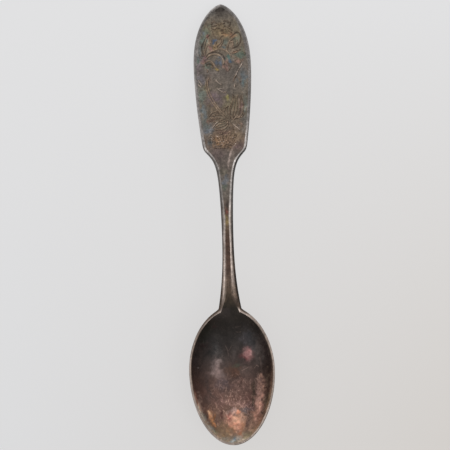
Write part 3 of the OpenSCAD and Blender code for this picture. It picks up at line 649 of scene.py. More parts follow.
# In the dish the pale, pink and peach patches are painted highlights and reflections, one near-black patch is
# painted shade over the lamp's highlight, and the rest are tarnish
DISH_PATCHES_AND_HIGHLIGHTS = (
    (5.3, 29, 1.5, 1.8, 152, 108, 106, 0.85), (6.2, 29.2, 0.5, 0.6, 184, 138, 136, 0.7),
    (3.7, 27.9, 1.2, 0.8, 92, 52, 52, 0.7), (4.7, 34.2, 1.6, 2.3, 68, 64, 67, 0.7),
    (7.2, 33.8, 1.5, 2.1, 52, 54, 57, 0.6), (7.5, 30.7, 1.2, 1.2, 64, 68, 74, 0.5),
    (-8.8, 36.6, 2.3, 2.9, 28, 33, 26, 0.5), (-8.5, 31.6, 1.2, 1, 44, 26, 26, 0.5),
    (-11.1, 28.6, 1, 1.2, 28, 28, 26, 0.6), (-5.2, 37.8, 0.6, 0.4, 52, 30, 30, 0.5),
    (-4.9, 23.4, 1.8, 2.1, 126, 108, 104, 0.85), (-5.2, 25.6, 1.3, 1.2, 96, 84, 82, 0.5),
    (-5.2, 30.6, 2.2, 2.6, 22, 19, 18, 0.9), (0.5, 23.8, 1.5, 1.5, 88, 62, 48, 0.6),
    (4.3, 23.4, 1.9, 1.1, 94, 78, 72, 0.6), (1.5, 25.1, 1.2, 0.4, 60, 68, 56, 0.6),
    (-10.7, 24.9, 0.3, 0.2, 184, 174, 172, 0.9), (9.9, 27.7, 0.2, 1.4, 92, 88, 88, 0.6),
    (11.3, 32.1, 1.2, 2.3, 62, 52, 52, 0.5), (8.8, 30.4, 1.7, 4.2, 90, 80, 76, 0.75),
    (-11, 26.2, 1.2, 2.3, 50, 44, 44, 0.5), (-4.4, 22, 1.4, 1.5, 116, 98, 94, 0.5),
    (-2.8, 19, 1.9, 1.5, 88, 76, 80, 0.6), (1.7, 18.5, 1.5, 1.5, 114, 88, 80, 0.6),
    (2.9, 19.8, 0.4, 1.2, 68, 48, 42, 0.7), (0.8, 22.7, 1.2, 1.4, 76, 52, 42, 0.6),
    (9.2, 18.4, 0.9, 2.1, 140, 108, 102, 0.5), (6.6, 16.8, 0.5, 2.2, 60, 49, 37, 0.8),
    (8.9, 15, 0.8, 1.5, 172, 134, 126, 0.8), (8.2, 12, 0.8, 1.8, 188, 136, 126, 0.9),
    (7.3, 9, 0.8, 1.9, 176, 124, 106, 0.85), (6, 5.4, 1, 1.2, 156, 124, 104, 0.65),
    (7.5, 12.7, 0.3, 0.8, 152, 116, 100, 0.6), (10.8, 13.7, 0.7, 1.5, 88, 78, 62, 0.6),
    (9.7, 9.5, 0.5, 1.5, 70, 62, 56, 0.6), (-7.5, 15.5, 1.9, 1.2, 78, 66, 62, 0.4),
    (-3.3, 13.8, 1.5, 1.2, 100, 74, 68, 0.5), (-9.5, 14, 1.9, 1.5, 66, 54, 50, 0.5),
    (-7.2, 9.7, 0.5, 1.3, 226, 168, 128, 1), (-6.1, 9.3, 0.4, 1, 152, 96, 50, 0.8),
    (-6.6, 7.3, 0.7, 1, 172, 128, 88, 0.7), (-3.8, 10, 0.5, 1.5, 78, 48, 44, 0.7),
    (-1.4, 8.5, 1, 1.2, 154, 92, 84, 0.7), (-1.6, 8.3, 0.3, 0.3, 122, 50, 48, 0.7),
    (0.8, 7.9, 2, 1.4, 208, 158, 132, 0.9), (0.1, 10.6, 1.5, 0.7, 184, 154, 148, 0.7),
    (1.9, 10.3, 0.6, 0.5, 246, 162, 126, 0.95), (0.6, 6, 1.9, 1.4, 194, 134, 110, 0.85),
    (2.8, 5.9, 0.7, 1.2, 172, 122, 92, 0.6), (2.4, 3.6, 0.7, 1, 180, 118, 88, 0.7),
    (-0.9, 4.8, 1.4, 1, 142, 106, 76, 0.7), (-3.2, 6.1, 1.2, 1.2, 126, 100, 76, 0.6),
    (4.3, 7.4, 0.7, 1, 92, 72, 66, 0.6), (4.1, 10.9, 1.1, 1, 86, 84, 90, 0.7),
    (5.1, 12, 1, 1.2, 88, 66, 70, 0.6), (-4.8, 4.6, 1.2, 1, 152, 124, 94, 0.6),
    (-2.3, 3.4, 1.2, 1.2, 142, 114, 86, 0.7), (0.2, 1.8, 0.8, 0.7, 108, 120, 130, 0.8),
    (2.7, 1.9, 1.9, 0.9, 190, 174, 162, 0.75), (4.8, 2.9, 1, 1, 152, 140, 112, 0.6),
    (-3.3, 1.8, 1.2, 0.5, 122, 114, 106, 0.6), (-5.9, 3.9, 0.8, 0.8, 94, 100, 88, 0.6),
    (-9.4, 8.4, 0.5, 1.4, 112, 116, 108, 0.7), (-9.6, 10.9, 0.8, 1, 78, 62, 58, 0.6),
    (3.2, 13.6, 1.2, 1.2, 122, 92, 86, 0.5), (-1.7, 15.7, 1.5, 1.2, 106, 86, 78, 0.5),
    (-5, 14.6, 1.8, 1.6, 90, 68, 62, 0.5), (5.2, 14.2, 1.4, 1.6, 82, 57, 51, 0.75),
    (5.4, 38.4, 2, 2, 52, 49, 47, 0.5),
)
FLAT, INNER, BEVEL, EDGE, SIDE, BACK = range(6)
RIM_ZONES = [INNER, INNER, BEVEL, EDGE, EDGE, SIDE]
SHARP_ANGLE = math.radians(24)
MERGE_REACH = 1.5e-6
SLIVER_REACH = 1e-7


def linear(colour):
    c = np.asarray(colour, float) / 255
    return np.where(c <= 0.04045, c / 12.92, ((c + 0.055) / 1.055) ** 2.4)


def stops(s, rows):
    """Colours blended between the stops of a table."""
    rows = np.array(rows, float)
    return np.stack([np.interp(s, rows[:, 0], rows[:, 1 + c]) for c in range(3)], -1)


def edge_colour(s, band):
    """Colours along one band of an edge, from its tones of worn metal with painted light and shade."""
    tone = stops(np.interp(s, *band), [(k, *colour) for k, colour in enumerate(EDGE_TONES)])
    return between(tone, tone.mean(-1, keepdims=True), BLADE_GREY * blade_share(s)[:, None])


def laid_on(colour, over, amount):
    """Colours with another one over them, as far as the amount at each place says."""
    return between(colour, np.asarray(over, float), amount[:, None])


def patched(colour, x, s, patches, seed, spread):
    """Colours with the patches laid on, their edges and strength broken up by clouds."""
    shift_x, shift_s = ((clouds(x, s, SHIFT_CLOUD, seed + k) - 0.5) * SHIFT_REACH for k in (0, 7))
    broken = PATCH_LEAST + PATCH_MORE * clouds(x, s, PATCH_CLOUD, seed + 11)
    for px, ps, rx, rs, *shade, strength in patches:
        rx, rs = rx * spread, rs * spread
        near = ((np.abs(x - px) < PATCH_REACH * rx + SHIFT_REACH / 2)
                & (np.abs(s - ps) < PATCH_REACH * rs + SHIFT_REACH / 2))
        if not near.any():
            continue
        small = min(1, rx, rs)
        off_x, off_s = x[near] - px + shift_x[near] * small, s[near] - ps + shift_s[near] * small
        q = (off_x / rx) ** 2 + (off_s / rs) ** 2
        amount = np.minimum(1, strength * broken[near]) * np.exp(-(q / PATCH_SOFTNESS) ** PATCH_POWER)
        colour[near] = laid_on(colour[near], shade, amount)
    return colour


def paint(x, s, zone, cut, stain_and_shade):
    """The colour of each corner of a face, from where it lies and which surface it's on."""
    right, in_dish = x > 0, s < BOWL_LENGTH

    def by_side(at_right, at_left):
        return np.where(right, np.interp(s, *at_right), np.interp(s, *at_left))

    top = np.where(in_dish[:, None], stops(s, DISH_STOPS), stops(s, FLAT_STOPS))
    wall = np.clip(WALL_HOLLOW - WALL_SLOPE * hollow_share(x, s, 0), 0, 1) * in_dish
    # Painted shade on the left wall of the dish, growing towards the neck
    top = laid_on(top, WALL_SHADE_COLOUR, WALL_SHADE * wall * np.clip((s - SHADE_PLACE) / SHADE_RUN, 0, 1) * ~right)
    # Patches of tarnish, painted highlights, painted reflections and painted shade in the dish
    top = patched(top, x, s, DISH_PATCHES_AND_HIGHLIGHTS, DISH_SEED, DISH_SPREAD)
    # Streaks of tarnish and painted reflections
    for line, width, colour, strength in STREAKS_AND_REFLECTIONS:
        ragged = STREAK_SLOPE * clouds(x, s, STREAK_CLOUD, STREAK_SEED) - STREAK_START
        streak = strength * line_field(x, s, places(line), width) * ragged
        top = laid_on(top, colour, np.clip(streak, 0, 1))
    top = patched(top, x, s, HANDLE_PATCHES, HANDLE_SEED, 1)
    # Dark stain in the cuts and dots, with the painted shadow beside each engraved line
    top = laid_on(top, STAIN_AND_SHADE_COLOUR, STAIN_AND_SHADE_STRENGTH * stain_and_shade)
    cut_paint = np.where(in_dish[:, None], SCRATCH_COLOUR, CUT_COLOUR)
    cut_paint = laid_on(cut_paint, PALE_COLOUR, np.clip(PALE_SLOPE * cut - PALE_START, 0, 1))
    top = laid_on(top, cut_paint, np.minimum(1, CUT_STRENGTH * cut))
    # Painted light on the walls of the dish near its rim
    top = top * (1 + (wall * by_side(RIGHT_WALL_LIGHT, LEFT_WALL_LIGHT))[:, None] * WALL_LIGHT_TINT)
    # Edge bands: worn metal with painted highlights and painted shade, different on the left and the right
    inner, middle, outer = (np.where(right[:, None], edge_colour(s, at_right), edge_colour(s, at_left))
                            for at_right, at_left in zip(RIGHT_EDGE, LEFT_EDGE))
    flat_end = np.where(s < SCARF_PLACE, flat_half(s), outline_half(s) - BLADE_DRAFT - BLADE_BEVEL)
    # Painted highlight: a bright line along each edge, reaching onto the flat
    highlight_reach = by_side(RIGHT_HIGHLIGHT_REACH, LEFT_HIGHLIGHT_REACH) * ~in_dish
    on_highlight = np.clip(HIGHLIGHT_PEAK - (flat_end - np.abs(x)) / np.maximum(highlight_reach, LEAST_HIGHLIGHT_REACH), 0, 1) * (highlight_reach > LEAST_HIGHLIGHT_REACH)
    ridge = laid_on(top, inner, by_side(RIGHT_BRIGHT, LEFT_BRIGHT))
    top = laid_on(top, inner, on_highlight)
    slim = neck_share(s) * (1 - blade_share(s))
    bevel, edge = laid_on(middle, inner, slim), laid_on(outer, middle, slim)
    colour = np.choose(zone[:, None], [top, ridge, bevel, edge, outer, stops(s, BACK_STOPS)])
    mottle = np.where(in_dish, DISH_MOTTLE, PLATE_MOTTLE) * (clouds(x, s, FINE_CLOUD, FINE_SEED) - 0.5)
    wear = 1 + mottle + BROAD_MOTTLE * (clouds(x, s, BROAD_CLOUD, BROAD_SEED) - 0.5)
    gain = np.where(in_dish, DISH_GAIN, PLATE_GAIN)
    return np.clip(linear(np.clip(colour * wear[:, None], DARKEST, LIGHTEST)) * gain[:, None], 0, 1)


def values_of(items, key, kind, width=1):
    """One value, or width values, of each of a mesh's items."""
    values = np.zeros(len(items) * width, kind)
    items.foreach_get(key, values)
    return values


def build(name, parts, node, material):
    """One closed mesh from grids of points, each with the zones of its rows and whether its columns close."""
    points, faces, zones = [], [], []
    base = 0
    for grid, row_zones, closed in parts:
        rows, cols, _ = grid.shape
        points.append(grid.reshape(-1, 5))
        r, c = np.meshgrid(np.arange(rows - 1), np.arange(cols if closed else cols - 1), indexing="ij")
        c2 = (c + 1) % cols
        quad = np.stack([r * cols + c, r * cols + c2, (r + 1) * cols + c2, (r + 1) * cols + c], -1) + base
        faces.append(quad.reshape(-1, 4))
        zones.append(np.repeat(np.asarray(row_zones), c.shape[1]))
        base += rows * cols
    points, faces, zones = np.concatenate(points), np.concatenate(faces), np.concatenate(zones)
    z = np.minimum(top_height(points[:, 1]) - points[:, 2], TOP_LIMIT)
    co = np.stack([points[:, 0], points[:, 1] - SPOON_LENGTH / 2, np.maximum(z, 0)], -1) * MM
    bm = bmesh.new()
    cut_layer, stain_and_shade_layer = bm.verts.layers.float.new("cut"), bm.verts.layers.float.new("stain_and_shade")
    zone_layer = bm.faces.layers.int.new("zone")
    verts = [bm.verts.new(p) for p in co.tolist()]
    for v, (cut, stain_and_shade) in zip(verts, points[:, 3:].tolist()):
        v[cut_layer], v[stain_and_shade_layer] = cut, stain_and_shade
    for quad, zone in zip(faces.tolist(), zones.tolist()):
        bm.faces.new([verts[i] for i in quad])[zone_layer] = zone
    bmesh.ops.remove_doubles(bm, verts=bm.verts, dist=MERGE_REACH)
    bmesh.ops.dissolve_degenerate(bm, dist=SLIVER_REACH, edges=bm.edges)
    open_edges = [e for e in bm.edges if e.is_boundary]
    if open_edges:
        filled = bmesh.ops.holes_fill(bm, edges=open_edges, sides=0)["faces"]
        for f in filled:
            f[zone_layer] = BACK
        bmesh.ops.triangulate(bm, faces=filled)
    bmesh.ops.recalc_face_normals(bm, faces=bm.faces)
    mesh = bpy.data.meshes.new(name)
    bm.to_mesh(mesh)
    bm.free()
    corners = values_of(mesh.loops, "vertex_index", np.int32)
    co = values_of(mesh.vertices, "co", np.float32, 3).reshape(-1, 3)[corners] / MM
    cut, stain_and_shade = (values_of(mesh.attributes[key].data, "value", np.float32)[corners].astype(float)
                  for key in ("cut", "stain_and_shade"))
    zone = np.repeat(values_of(mesh.attributes["zone"].data, "value", np.int32),
                     values_of(mesh.polygons, "loop_total", np.int32))
    rgba = np.ones((len(corners), 4), np.float32)
    x, s = co[:, 0].astype(float), co[:, 1].astype(float) + SPOON_LENGTH / 2
    rgba[:, :3] = paint(x, s, zone, cut, stain_and_shade)
    mesh.color_attributes.new("tint", "FLOAT_COLOR", "CORNER").data.foreach_set("color", rgba.ravel())
    for key in ("cut", "stain_and_shade", "zone"):
        mesh.attributes.remove(mesh.attributes[key])
    mesh.polygons.foreach_set("use_smooth", np.ones(len(mesh.polygons), bool))
    mesh.set_sharp_from_angle(angle=SHARP_ANGLE)
    mesh.materials.append(material)
    piece = bpy.data.objects.new(name, mesh)
    bpy.context.scene.collection.objects.link(piece)
    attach(piece, "root")
    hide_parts(node)
    return piece


def quarter(steps):
    """Angles from 0 to a right angle."""
    return np.linspace(0, math.pi / 2, steps + 1)


def rows_of(*columns):
    """Points (across, from the toe, depth, cut, stain with painted shade) that aren't cut, stained or shaded.
    """
    x, s, d = np.broadcast_arrays(*[np.asarray(c, float) for c in columns])
    return np.stack([x, s, d, np.zeros_like(x), np.zeros_like(x)], -1)


# Bowl

TOE_STEPS, RIM_STEPS, NECK_STEPS, END_STEPS = 108, 108, 34, 16
DISH_RINGS, SETTLE_RINGS, BELLY_RINGS = 116, 50, 26
# Where the rings lie across the rim's band and down its side, close together where an edge turns
BAND_PARTS = (0.06, 0.5, 0.94)
SIDE_PARTS = (0.06, 0.5, 1)


def level_loop(values):
    """Values up the right side, level across the end of the neck, and the same again down the left side."""
    return np.concatenate([values, np.full(END_STEPS - 1, values[-1]), values[:0:-1]])


def closed_loop(x, s):
    """A path up the right side, across the end of the neck and down the left side."""
    t = 1 - 2 * np.arange(1, END_STEPS) / END_STEPS
    return np.concatenate([x, x[-1] * t, -x[:0:-1]]), level_loop(s)


def bowl_parts():
    neck = BOWL_LENGTH + (NECK_PLACE - BOWL_LENGTH) * np.arange(1, NECK_STEPS + 1) / NECK_STEPS

    def path(margin):
        toe = BOWL_WIDEST - (BOWL_WIDEST - margin) * np.cos(quarter(TOE_STEPS))
        rim = BOWL_WIDEST + (BOWL_LENGTH - BOWL_WIDEST - margin) * np.sin(quarter(RIM_STEPS)[1:])
        return np.concatenate([toe, rim, neck])

    outer_s, inner_s = path(0), path(INNER_MARGIN)
    outer_x, inner_x = outline_half(outer_s), oval_half(inner_s, INNER_MARGIN)
    inner_x[0] = 0
    on_neck = (inner_x <= np.minimum(flat_half(inner_s), NECK_WIDTH / 2)) & (inner_s > BOWL_WIDEST)
    corner = int(np.argmax(on_neck)) - 1
    inner_s = np.where(on_neck, outer_s, inner_s)
    inner_x = np.where(on_neck, flat_half(outer_s), inner_x)
    steps = np.arange(len(inner_x))
    t = np.clip((steps - corner) / (len(inner_x) - 1 - corner + END_STEPS / 2), 0, 1)
    settled_x = np.where(steps <= corner, inner_x, inner_x[corner] * (1 - t))
    settled_s = np.where(steps <= corner, inner_s, inner_s[corner])
    inner, settled = closed_loop(inner_x, inner_s), closed_loop(settled_x, settled_s)
    outer = closed_loop(outer_x, outer_s)
    rings = []
    for i, k in enumerate(np.sin(quarter(DISH_RINGS))):
        settle = min(1, (DISH_RINGS - i) / SETTLE_RINGS)
        x = between(inner[0], settled[0], settle) * k
        s = between(BOWL_WIDEST, between(inner[1], settled[1], settle), k)
        ring = rows_of(x, s, BOWL_DEPTH * hollow_share(x, s, INNER_MARGIN))
        ring[:, 3] = scratches(x, s)
        rings.append(ring)
    drop = between(RIM_EASE, STEM_BEVEL_DROP, neck_share(outer_s))
    draft = between(RIM_DRAFT, STEM_DRAFT, neck_share(outer_s))
    corner_x, corner_s = drawn_back(outer_x, outer_s, draft, (0, 1), (-1, 0))
    for k in BAND_PARTS:
        x, s = closed_loop(between(inner_x, corner_x, k), between(inner_s, corner_s, k))
        rings.append(rows_of(x, s, level_loop(drop * k)))
    for k in SIDE_PARTS:
        x, s = closed_loop(*drawn_back(outer_x, outer_s, draft * (1 - k), (0, 1), (-1, 0)))
        rings.append(rows_of(x, s, level_loop(between(drop, edge_thickness(outer_s), k))))
    for k in np.sin(quarter(BELLY_RINGS))[-2::-1]:
        x, s = outer[0] * k, between(BOWL_WIDEST, outer[1], k)
        rings.append(rows_of(x, s, belly_depth(x, s)))
    return [(np.stack(rings), [FLAT] * DISH_RINGS + RIM_ZONES + [BACK] * BELLY_RINGS, True)]


# Stem

STEM_ROWS, FLAT_COLUMNS, ROUND_STEPS, DROP_ROWS = 260, 12, 8, 44
STEM_START_GAP = 0.004
# The drop: how far its rows reach, and the widths and depths of its upper edge and back, as shares
DROP_REACH_SHARE = 0.985
DROP_FLAT_SHARE = 0.92
DROP_WIDTH_SHARES = (0.97, 0.98, 0.99, 1, 1)
DROP_DEPTH_SHARES = (0, 0.02, 0.04, 0.08, 0.14)
DROP_BACK_SHARE = 0.2


def half_turn(row):
    """A row of points from the flat's right edge down to the back, with the left side after it."""
    left = row[::-1].copy()
    left[:, 0] *= -1
    return np.concatenate([row, left])


def stem_parts():
    grid = []
    angles = quarter(ROUND_STEPS)
    u = np.linspace(-1, 1, FLAT_COLUMNS + 1)
    back_height = STEM_THICKNESS - TANG_THICKNESS - SOLDER_GAP
    for place in np.linspace(SCARF_PLACE, NECK_PLACE + STEM_START_GAP, STEM_ROWS):
        lean = float(blade_share(place))
        depth = between(STEM_THICKNESS, BLADE_THICKNESS, lean)
        drop = between(STEM_BEVEL_DROP, BLADE_BEVEL_DROP, lean)
        draft = between(STEM_DRAFT, BLADE_DRAFT, lean)
        round_width = between(BACK_ROUND_SHARE * float(outline_half(place)), BACK_EASE, lean)
        round_height = between(back_height, BACK_EASE, lean)

        def at(d):
            return place + SCARF_LENGTH * lean * (d / depth - 0.5)

        flat = float(flat_half(at(0)))
        edge = float(outline_half(at(drop))) - draft
        wear = EDGE_WEAR * (drop / max(edge - flat, 1e-6))
        side_depth = depth - round_height
        upper = [wear, drop / 2, drop - wear, drop + EDGE_WEAR, (drop + side_depth) / 2]
        levels = np.concatenate([upper, depth - round_height * (1 - np.sin(angles))])
        below_edge = draft * (1 - EDGE_WEAR / (side_depth - drop))
        insets = [0, 0, draft + EDGE_WEAR, below_edge, draft / 2]
        x = outline_half(at(levels)) - np.concatenate([insets, round_width * (1 - np.cos(angles))])
        x[:2] = flat + EDGE_WEAR, (flat + edge) / 2
        right = np.stack([x, at(levels), levels], -1)
        flats = np.stack([u * (flat - EDGE_WEAR), np.full(len(u), at(0)), np.zeros(len(u))], -1)
        grid.append(np.concatenate([flats, half_turn(right)]))
    for k in np.sin(quarter(DROP_ROWS)):
        s = NECK_PLACE - DROP_LENGTH * DROP_REACH_SHARE * k
        along = (NECK_PLACE - s) / DROP_LENGTH
        half = float(outline_half(NECK_PLACE)) * (1 - along ** DROP_SIDE_POWER) ** 0.5
        thick = between(back_height, DROP_END_THICKNESS, float(share(along)))
        x = half * np.concatenate([DROP_WIDTH_SHARES, 1 - BACK_ROUND_SHARE * (1 - np.cos(angles))])
        part = np.concatenate([DROP_DEPTH_SHARES, between(DROP_BACK_SHARE, 1, np.sin(angles))])
        right = np.stack([x, np.full(len(x), s), belly_depth(x, s) + SOLDER_GAP + thick * part], -1)
        fx = u * half * DROP_FLAT_SHARE
        flats = np.stack([fx, np.full(len(u), s), belly_depth(fx, s) + SOLDER_GAP], -1)
        grid.append(np.concatenate([flats, half_turn(right)]))
    grid = np.stack(grid).transpose(1, 0, 2)
    points = rows_of(grid[..., 0], grid[..., 1], grid[..., 2])
    points = np.concatenate([points, points[:1]])
    right = RIM_ZONES + [BACK] * ROUND_STEPS
    return [(points, [FLAT] * FLAT_COLUMNS + right + [BACK] + right[::-1], False)]


# Blade

SWEEP_ROWS, SIDE_ROWS, TIP_ROWS, TOP_COLUMNS, BACK_COLUMNS, EASE_STEPS = 64, 196, 150, 144, 8, 5
CUT_FADE = 0.15


def blade_path(start):
    s = np.concatenate([np.linspace(start, SHOULDER_PLACE, SWEEP_ROWS, endpoint=False),
                        np.linspace(SHOULDER_PLACE, WIDEST_PLACE, SIDE_ROWS, endpoint=False),
                        WIDEST_PLACE + TIP_RUN * np.sin(quarter(TIP_ROWS))])
    x = outline_half(s)
    x[-1] = 0
    return x, s


def blade_line(margin, depth):
    """The right half of the blade's outline drawn in by a margin, with a mitre at the tip."""
    x, s = blade_path(SCARF_PLACE + SCARF_LENGTH * (depth / BLADE_THICKNESS - 0.5))
    x, s = drawn_back(x, s, margin, (-1, 0), (0, -1))
    past = np.flatnonzero(x[SWEEP_ROWS + SIDE_ROWS:] <= 0)
    k = SWEEP_ROWS + SIDE_ROWS + (int(past[0]) if len(past) else TIP_ROWS)
    t = x[k - 1] / (x[k - 1] - x[k]) if x[k] < x[k - 1] else 1
    x[k:], s[k:] = 0, s[k - 1] + t * (s[k] - s[k - 1])
    return x, np.maximum.accumulate(s)


def blade_parts():
    wear = EDGE_WEAR * BLADE_BEVEL_DROP / BLADE_BEVEL
    levels = [(BLADE_DRAFT + BLADE_BEVEL + EDGE_WEAR, 0),
              (BLADE_DRAFT + BLADE_BEVEL - EDGE_WEAR, wear),
              (BLADE_DRAFT + BLADE_BEVEL / 2, BLADE_BEVEL_DROP / 2),
              (BLADE_DRAFT + EDGE_WEAR, BLADE_BEVEL_DROP - wear),
              (BLADE_DRAFT - EDGE_WEAR / 3, BLADE_BEVEL_DROP + EDGE_WEAR),
              (BLADE_DRAFT / 2, (BLADE_BEVEL_DROP + BLADE_THICKNESS - BACK_EASE) / 2)]
    for a in quarter(EASE_STEPS):
        levels.append((BACK_EASE * (1 - math.cos(a)), BLADE_THICKNESS - BACK_EASE * (1 - math.sin(a))))
    right = np.stack([rows_of(*blade_line(margin, depth), depth) for margin, depth in levels])
    left = right.copy()
    left[..., 0] *= -1
    zones = RIM_ZONES + [BACK] * EASE_STEPS
    u = np.linspace(-1, 1, TOP_COLUMNS + 1)
    x, s = blade_line(*levels[0])
    gx, gs = x[:, None] * u, np.repeat(s[:, None], len(u), 1)
    deep, clean, stain_and_shade = engraving(gx, gs)
    inside = np.clip((x[:, None] - np.abs(gx)) / CUT_FADE, 0, 1)
    top = np.stack([gx, gs, LINE_DEPTH * deep * inside, clean, stain_and_shade], -1)
    bx, bs = blade_line(*levels[-1])
    v = np.linspace(-1, 1, BACK_COLUMNS + 1)
    back = rows_of(bx[:, None] * v, bs[:, None], BLADE_THICKNESS)
    return [(top, [FLAT] * (len(x) - 1), False), (right, zones, False), (left, zones, False),
            (back, [BACK] * (len(bx) - 1), False)]


# Materials: tarnished plate over yellow metal

METALLIC = 0.72
# Scales of the noise, and the part of it that is used
SPECKS, BLOTCHES, DULLNESS, GRAIN = 2200, 500, 700, 1500
NOISE_SPAN = (0.3, 0.7)
BLOTCH_SPAN = (0.88, 1.12)
DULL_SPAN = (-0.08, 0.12)
# The fine scratches: turn and scale of each direction, how long they're drawn, and the noise that makes one
SCRATCH_TURNS = ((0.5, 900), (1.9, 1100), (2.7, 1000))
SCRATCH_STRETCH = (1, 0.035, 1)
SCRATCH_SPAN = (0.66, 0.72)
SCRATCH_BUMP = -0.6
BUMP_STRENGTH = 0.35
BUMP_DISTANCE = 0.00006


def plug(tree, node, inputs):
    """A node whose inputs are set to values, or linked where they're given the output of another node."""
    for key, value in dict(inputs).items():
        if isinstance(value, bpy.types.NodeSocket):
            tree.links.new(value, node.inputs[key])
        else:
            node.inputs[key].default_value = value
    return node


def added(tree, kind, inputs=(), **settings):
    """The outputs of a new shader node with these settings and inputs."""
    node = tree.nodes.new("ShaderNode" + kind)
    for key, value in settings.items():
        setattr(node, key, value)
    return plug(tree, node, inputs).outputs


def rgba(colour):
    return (*linear(colour).tolist(), 1)


def tarnished(name, specks_share, scratch_strength, roughness, fallback):
    """Metal in the colours painted on the mesh, broken up by fine clouds, with scratches in its surface."""
    material = bpy.data.materials.new(name)
    material.use_nodes = True
    material.diffuse_color = rgba(fallback)
    tree = material.node_tree
    place = added(tree, "TexCoord")["Object"]

    def fine_clouds(scale, detail, stretch=(1, 1, 1), turn=0.0):
        spot = added(tree, "Mapping", {"Vector": place, "Scale": stretch, "Rotation": (0, 0, turn)})["Vector"]
        noise = {"Vector": spot, "Scale": scale, "Detail": detail, "Roughness": 0.6}
        return added(tree, "TexNoise", noise)["Fac"]

    def spread(value, span, low_out, high_out):
        limits = {"From Min": span[0], "From Max": span[1], "To Min": low_out, "To Max": high_out}
        return added(tree, "MapRange", {"Value": value, **limits})["Result"]

    def joined(a, operation, b):
        return added(tree, "Math", {0: a, 1: b}, operation=operation)[0]

    specks = spread(fine_clouds(SPECKS, 3), NOISE_SPAN, 1 - specks_share, 1 + specks_share)
    blotches = spread(fine_clouds(BLOTCHES, 4), NOISE_SPAN, *BLOTCH_SPAN)
    marks = 0
    for turn, scale in SCRATCH_TURNS:
        streaks = spread(fine_clouds(scale, 2, SCRATCH_STRETCH, turn), SCRATCH_SPAN, 0, 1)
        marks = joined(marks, "MAXIMUM", streaks)
    lighter = joined(joined(marks, "MULTIPLY", scratch_strength), "ADD", 1)
    strength = joined(joined(specks, "MULTIPLY", blotches), "MULTIPLY", lighter)
    tint = added(tree, "Attribute", attribute_name="tint")["Color"]
    height = joined(fine_clouds(GRAIN, 3), "ADD", joined(marks, "MULTIPLY", SCRATCH_BUMP))
    bump = added(tree, "Bump", {"Strength": BUMP_STRENGTH, "Distance": BUMP_DISTANCE, "Height": height})
    dullness = spread(fine_clouds(DULLNESS, 3), NOISE_SPAN, *(roughness + part for part in DULL_SPAN))
    plug(tree, tree.nodes["Principled BSDF"], {
        "Metallic": METALLIC,
        "Base Color": added(tree, "VectorMath", {0: tint, "Scale": strength}, operation="SCALE")["Vector"],
        "Roughness": dullness,
        "Normal": bump["Normal"],
    })
    return material


bowl_metal = tarnished("bowl_metal", 0.14, 0.5, 0.34, (80, 64, 58))
stem_metal = tarnished("stem_metal", 0.3, 0.15, 0.4, (92, 78, 70))
blade_metal = tarnished("blade_metal", 0.34, 0.2, 0.42, (100, 88, 78))

build("spoon_bowl", bowl_parts(), "bowl", bowl_metal)
build("spoon_stem", stem_parts(), "stem", stem_metal)
build("spoon_blade", blade_parts(), "handle_blade", blade_metal)

# Floor: pale paper with painted shade at the lower right, which looks pale to the camera and in the metal

FLOOR_HALF = 2.5
FLOOR_HEIGHT = -0.0002
FLOOR_UPPER = (226, 226, 227)
FLOOR_LOWER_LEFT = (220, 220, 221)
FLOOR_LOWER_RIGHT = (212, 208, 204)
FLOOR_FADE = 0.07
FLOOR_GLOW = 0.88
floor_mesh = bpy.data.meshes.new("floor")
floor_corners = [(FLOOR_HALF * x, FLOOR_HALF * y, 0) for x, y in ((-1, -1), (1, -1), (1, 1), (-1, 1))]
floor_mesh.from_pydata(floor_corners, [], [(0, 1, 2, 3)])
floor = bpy.data.objects.new("floor", floor_mesh)
floor.location.z = FLOOR_HEIGHT
bpy.context.scene.collection.objects.link(floor)
floor_material = bpy.data.materials.new("floor_paper")
floor_material.use_nodes = True
floor_tree = floor_material.node_tree
axes = added(floor_tree, "SeparateXYZ", {"Vector": added(floor_tree, "TexCoord")["Object"]})


def faded(axis, start, end):
    """A colour that changes along an axis of the floor from one end of the view to the other."""
    limits = {"From Min": -FLOOR_FADE, "From Max": FLOOR_FADE}
    reach = added(floor_tree, "MapRange", {"Value": axes[axis], **limits})["Result"]
    return added(floor_tree, "Mix", {"Factor": reach, "A": start, "B": end}, data_type="RGBA")["Result"]


whole_floor = faded("Y", faded("X", rgba(FLOOR_LOWER_LEFT), rgba(FLOOR_LOWER_RIGHT)), rgba(FLOOR_UPPER))
seen = added(floor_tree, "LightPath")
seen_by = seen["Is Camera Ray"]
for ray in ("Is Glossy Ray", "Is Transmission Ray"):
    seen_by = added(floor_tree, "Math", {0: seen_by, 1: seen[ray]}, operation="MAXIMUM")[0]
part_seen = added(floor_tree, "Math", {0: seen_by, 1: FLOOR_GLOW}, operation="MULTIPLY", use_clamp=True)[0]
glow = added(floor_tree, "Emission", {"Color": whole_floor})["Emission"]
paper = plug(floor_tree, floor_tree.nodes["Principled BSDF"],
             {"Roughness": 0.9, "Specular IOR Level": 0.1, "Base Color": whole_floor}).outputs["BSDF"]
both = added(floor_tree, "MixShader", {"Fac": part_seen, 1: paper, 2: glow})["Shader"]
plug(floor_tree, floor_tree.nodes["Material Output"], {"Surface": both})
floor_mesh.materials.append(floor_material)

# Light: a wide pale sky that darkens towards the horizon, and a soft lamp at the lower right

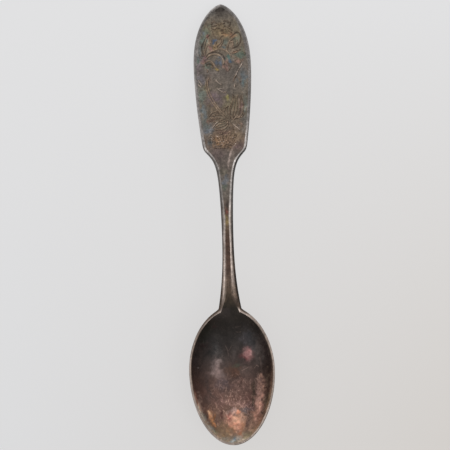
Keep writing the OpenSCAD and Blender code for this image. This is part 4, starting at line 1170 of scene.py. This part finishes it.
SKY_LOW = 0.35
SKY_TOP = 0.9
SKY_TOP_HEIGHT = 0.6
LAMP_PLACE = (0.55, -0.5, 0.75)
LAMP_SIZE = 0.5
LAMP_POWER = 1.8
world = bpy.data.worlds.new("sky")
bpy.context.scene.world = world
world.use_nodes = True
sky_tree = world.node_tree
height = added(sky_tree, "SeparateXYZ", {"Vector": added(sky_tree, "TexCoord")["Generated"]})["Z"]
ramp = plug(sky_tree, sky_tree.nodes.new("ShaderNodeValToRGB"), {"Fac": height})
for stop, place, level in zip(ramp.color_ramp.elements, (0, SKY_TOP_HEIGHT), (SKY_LOW, SKY_TOP)):
    stop.position = place
    stop.color = (level, level, level, 1)
plug(sky_tree, sky_tree.nodes["Background"], {"Color": ramp.outputs["Color"], "Strength": 1})

lamp_data = bpy.data.lights.new("lamp", "AREA")
lamp_data.shape = "DISK"
lamp_data.size = LAMP_SIZE
lamp_data.energy = LAMP_POWER
lamp = bpy.data.objects.new("lamp", lamp_data)
lamp.location = LAMP_PLACE
lamp.rotation_euler = (-lamp.location).to_track_quat("-Z", "Y").to_euler()
bpy.context.scene.collection.objects.link(lamp)

# Camera: straight above with a long lens, and turned so that the tip leans to the left

PHOTO_SIDE = 450
PHOTO_MIDDLE = (227.35, 224.4)
PHOTO_LENGTH = 440.22
PHOTO_TILT = math.atan2(14, 440)
CAMERA_HEIGHT = 2.0
CAMERA_REACH = 20
SENSOR = 36
metres_per_pixel = SPOON_LENGTH * MM / PHOTO_LENGTH
offset_x = (PHOTO_SIDE / 2 - PHOTO_MIDDLE[0]) * metres_per_pixel
offset_y = (PHOTO_MIDDLE[1] - PHOTO_SIDE / 2) * metres_per_pixel
camera_data = bpy.data.cameras.new("camera")
camera = bpy.data.objects.new("camera", camera_data)
bpy.context.scene.collection.objects.link(camera)
camera_data.sensor_width = SENSOR
camera_data.lens = SENSOR * CAMERA_HEIGHT / (PHOTO_SIDE * metres_per_pixel)
camera_data.clip_end = CAMERA_REACH
turn = -PHOTO_TILT
camera.location = (offset_x * math.cos(turn) - offset_y * math.sin(turn),
                   offset_x * math.sin(turn) + offset_y * math.cos(turn), CAMERA_HEIGHT)
camera.rotation_euler = (0, 0, turn)
bpy.context.scene.camera = camera
bpy.context.scene.view_settings.view_transform = "Standard"
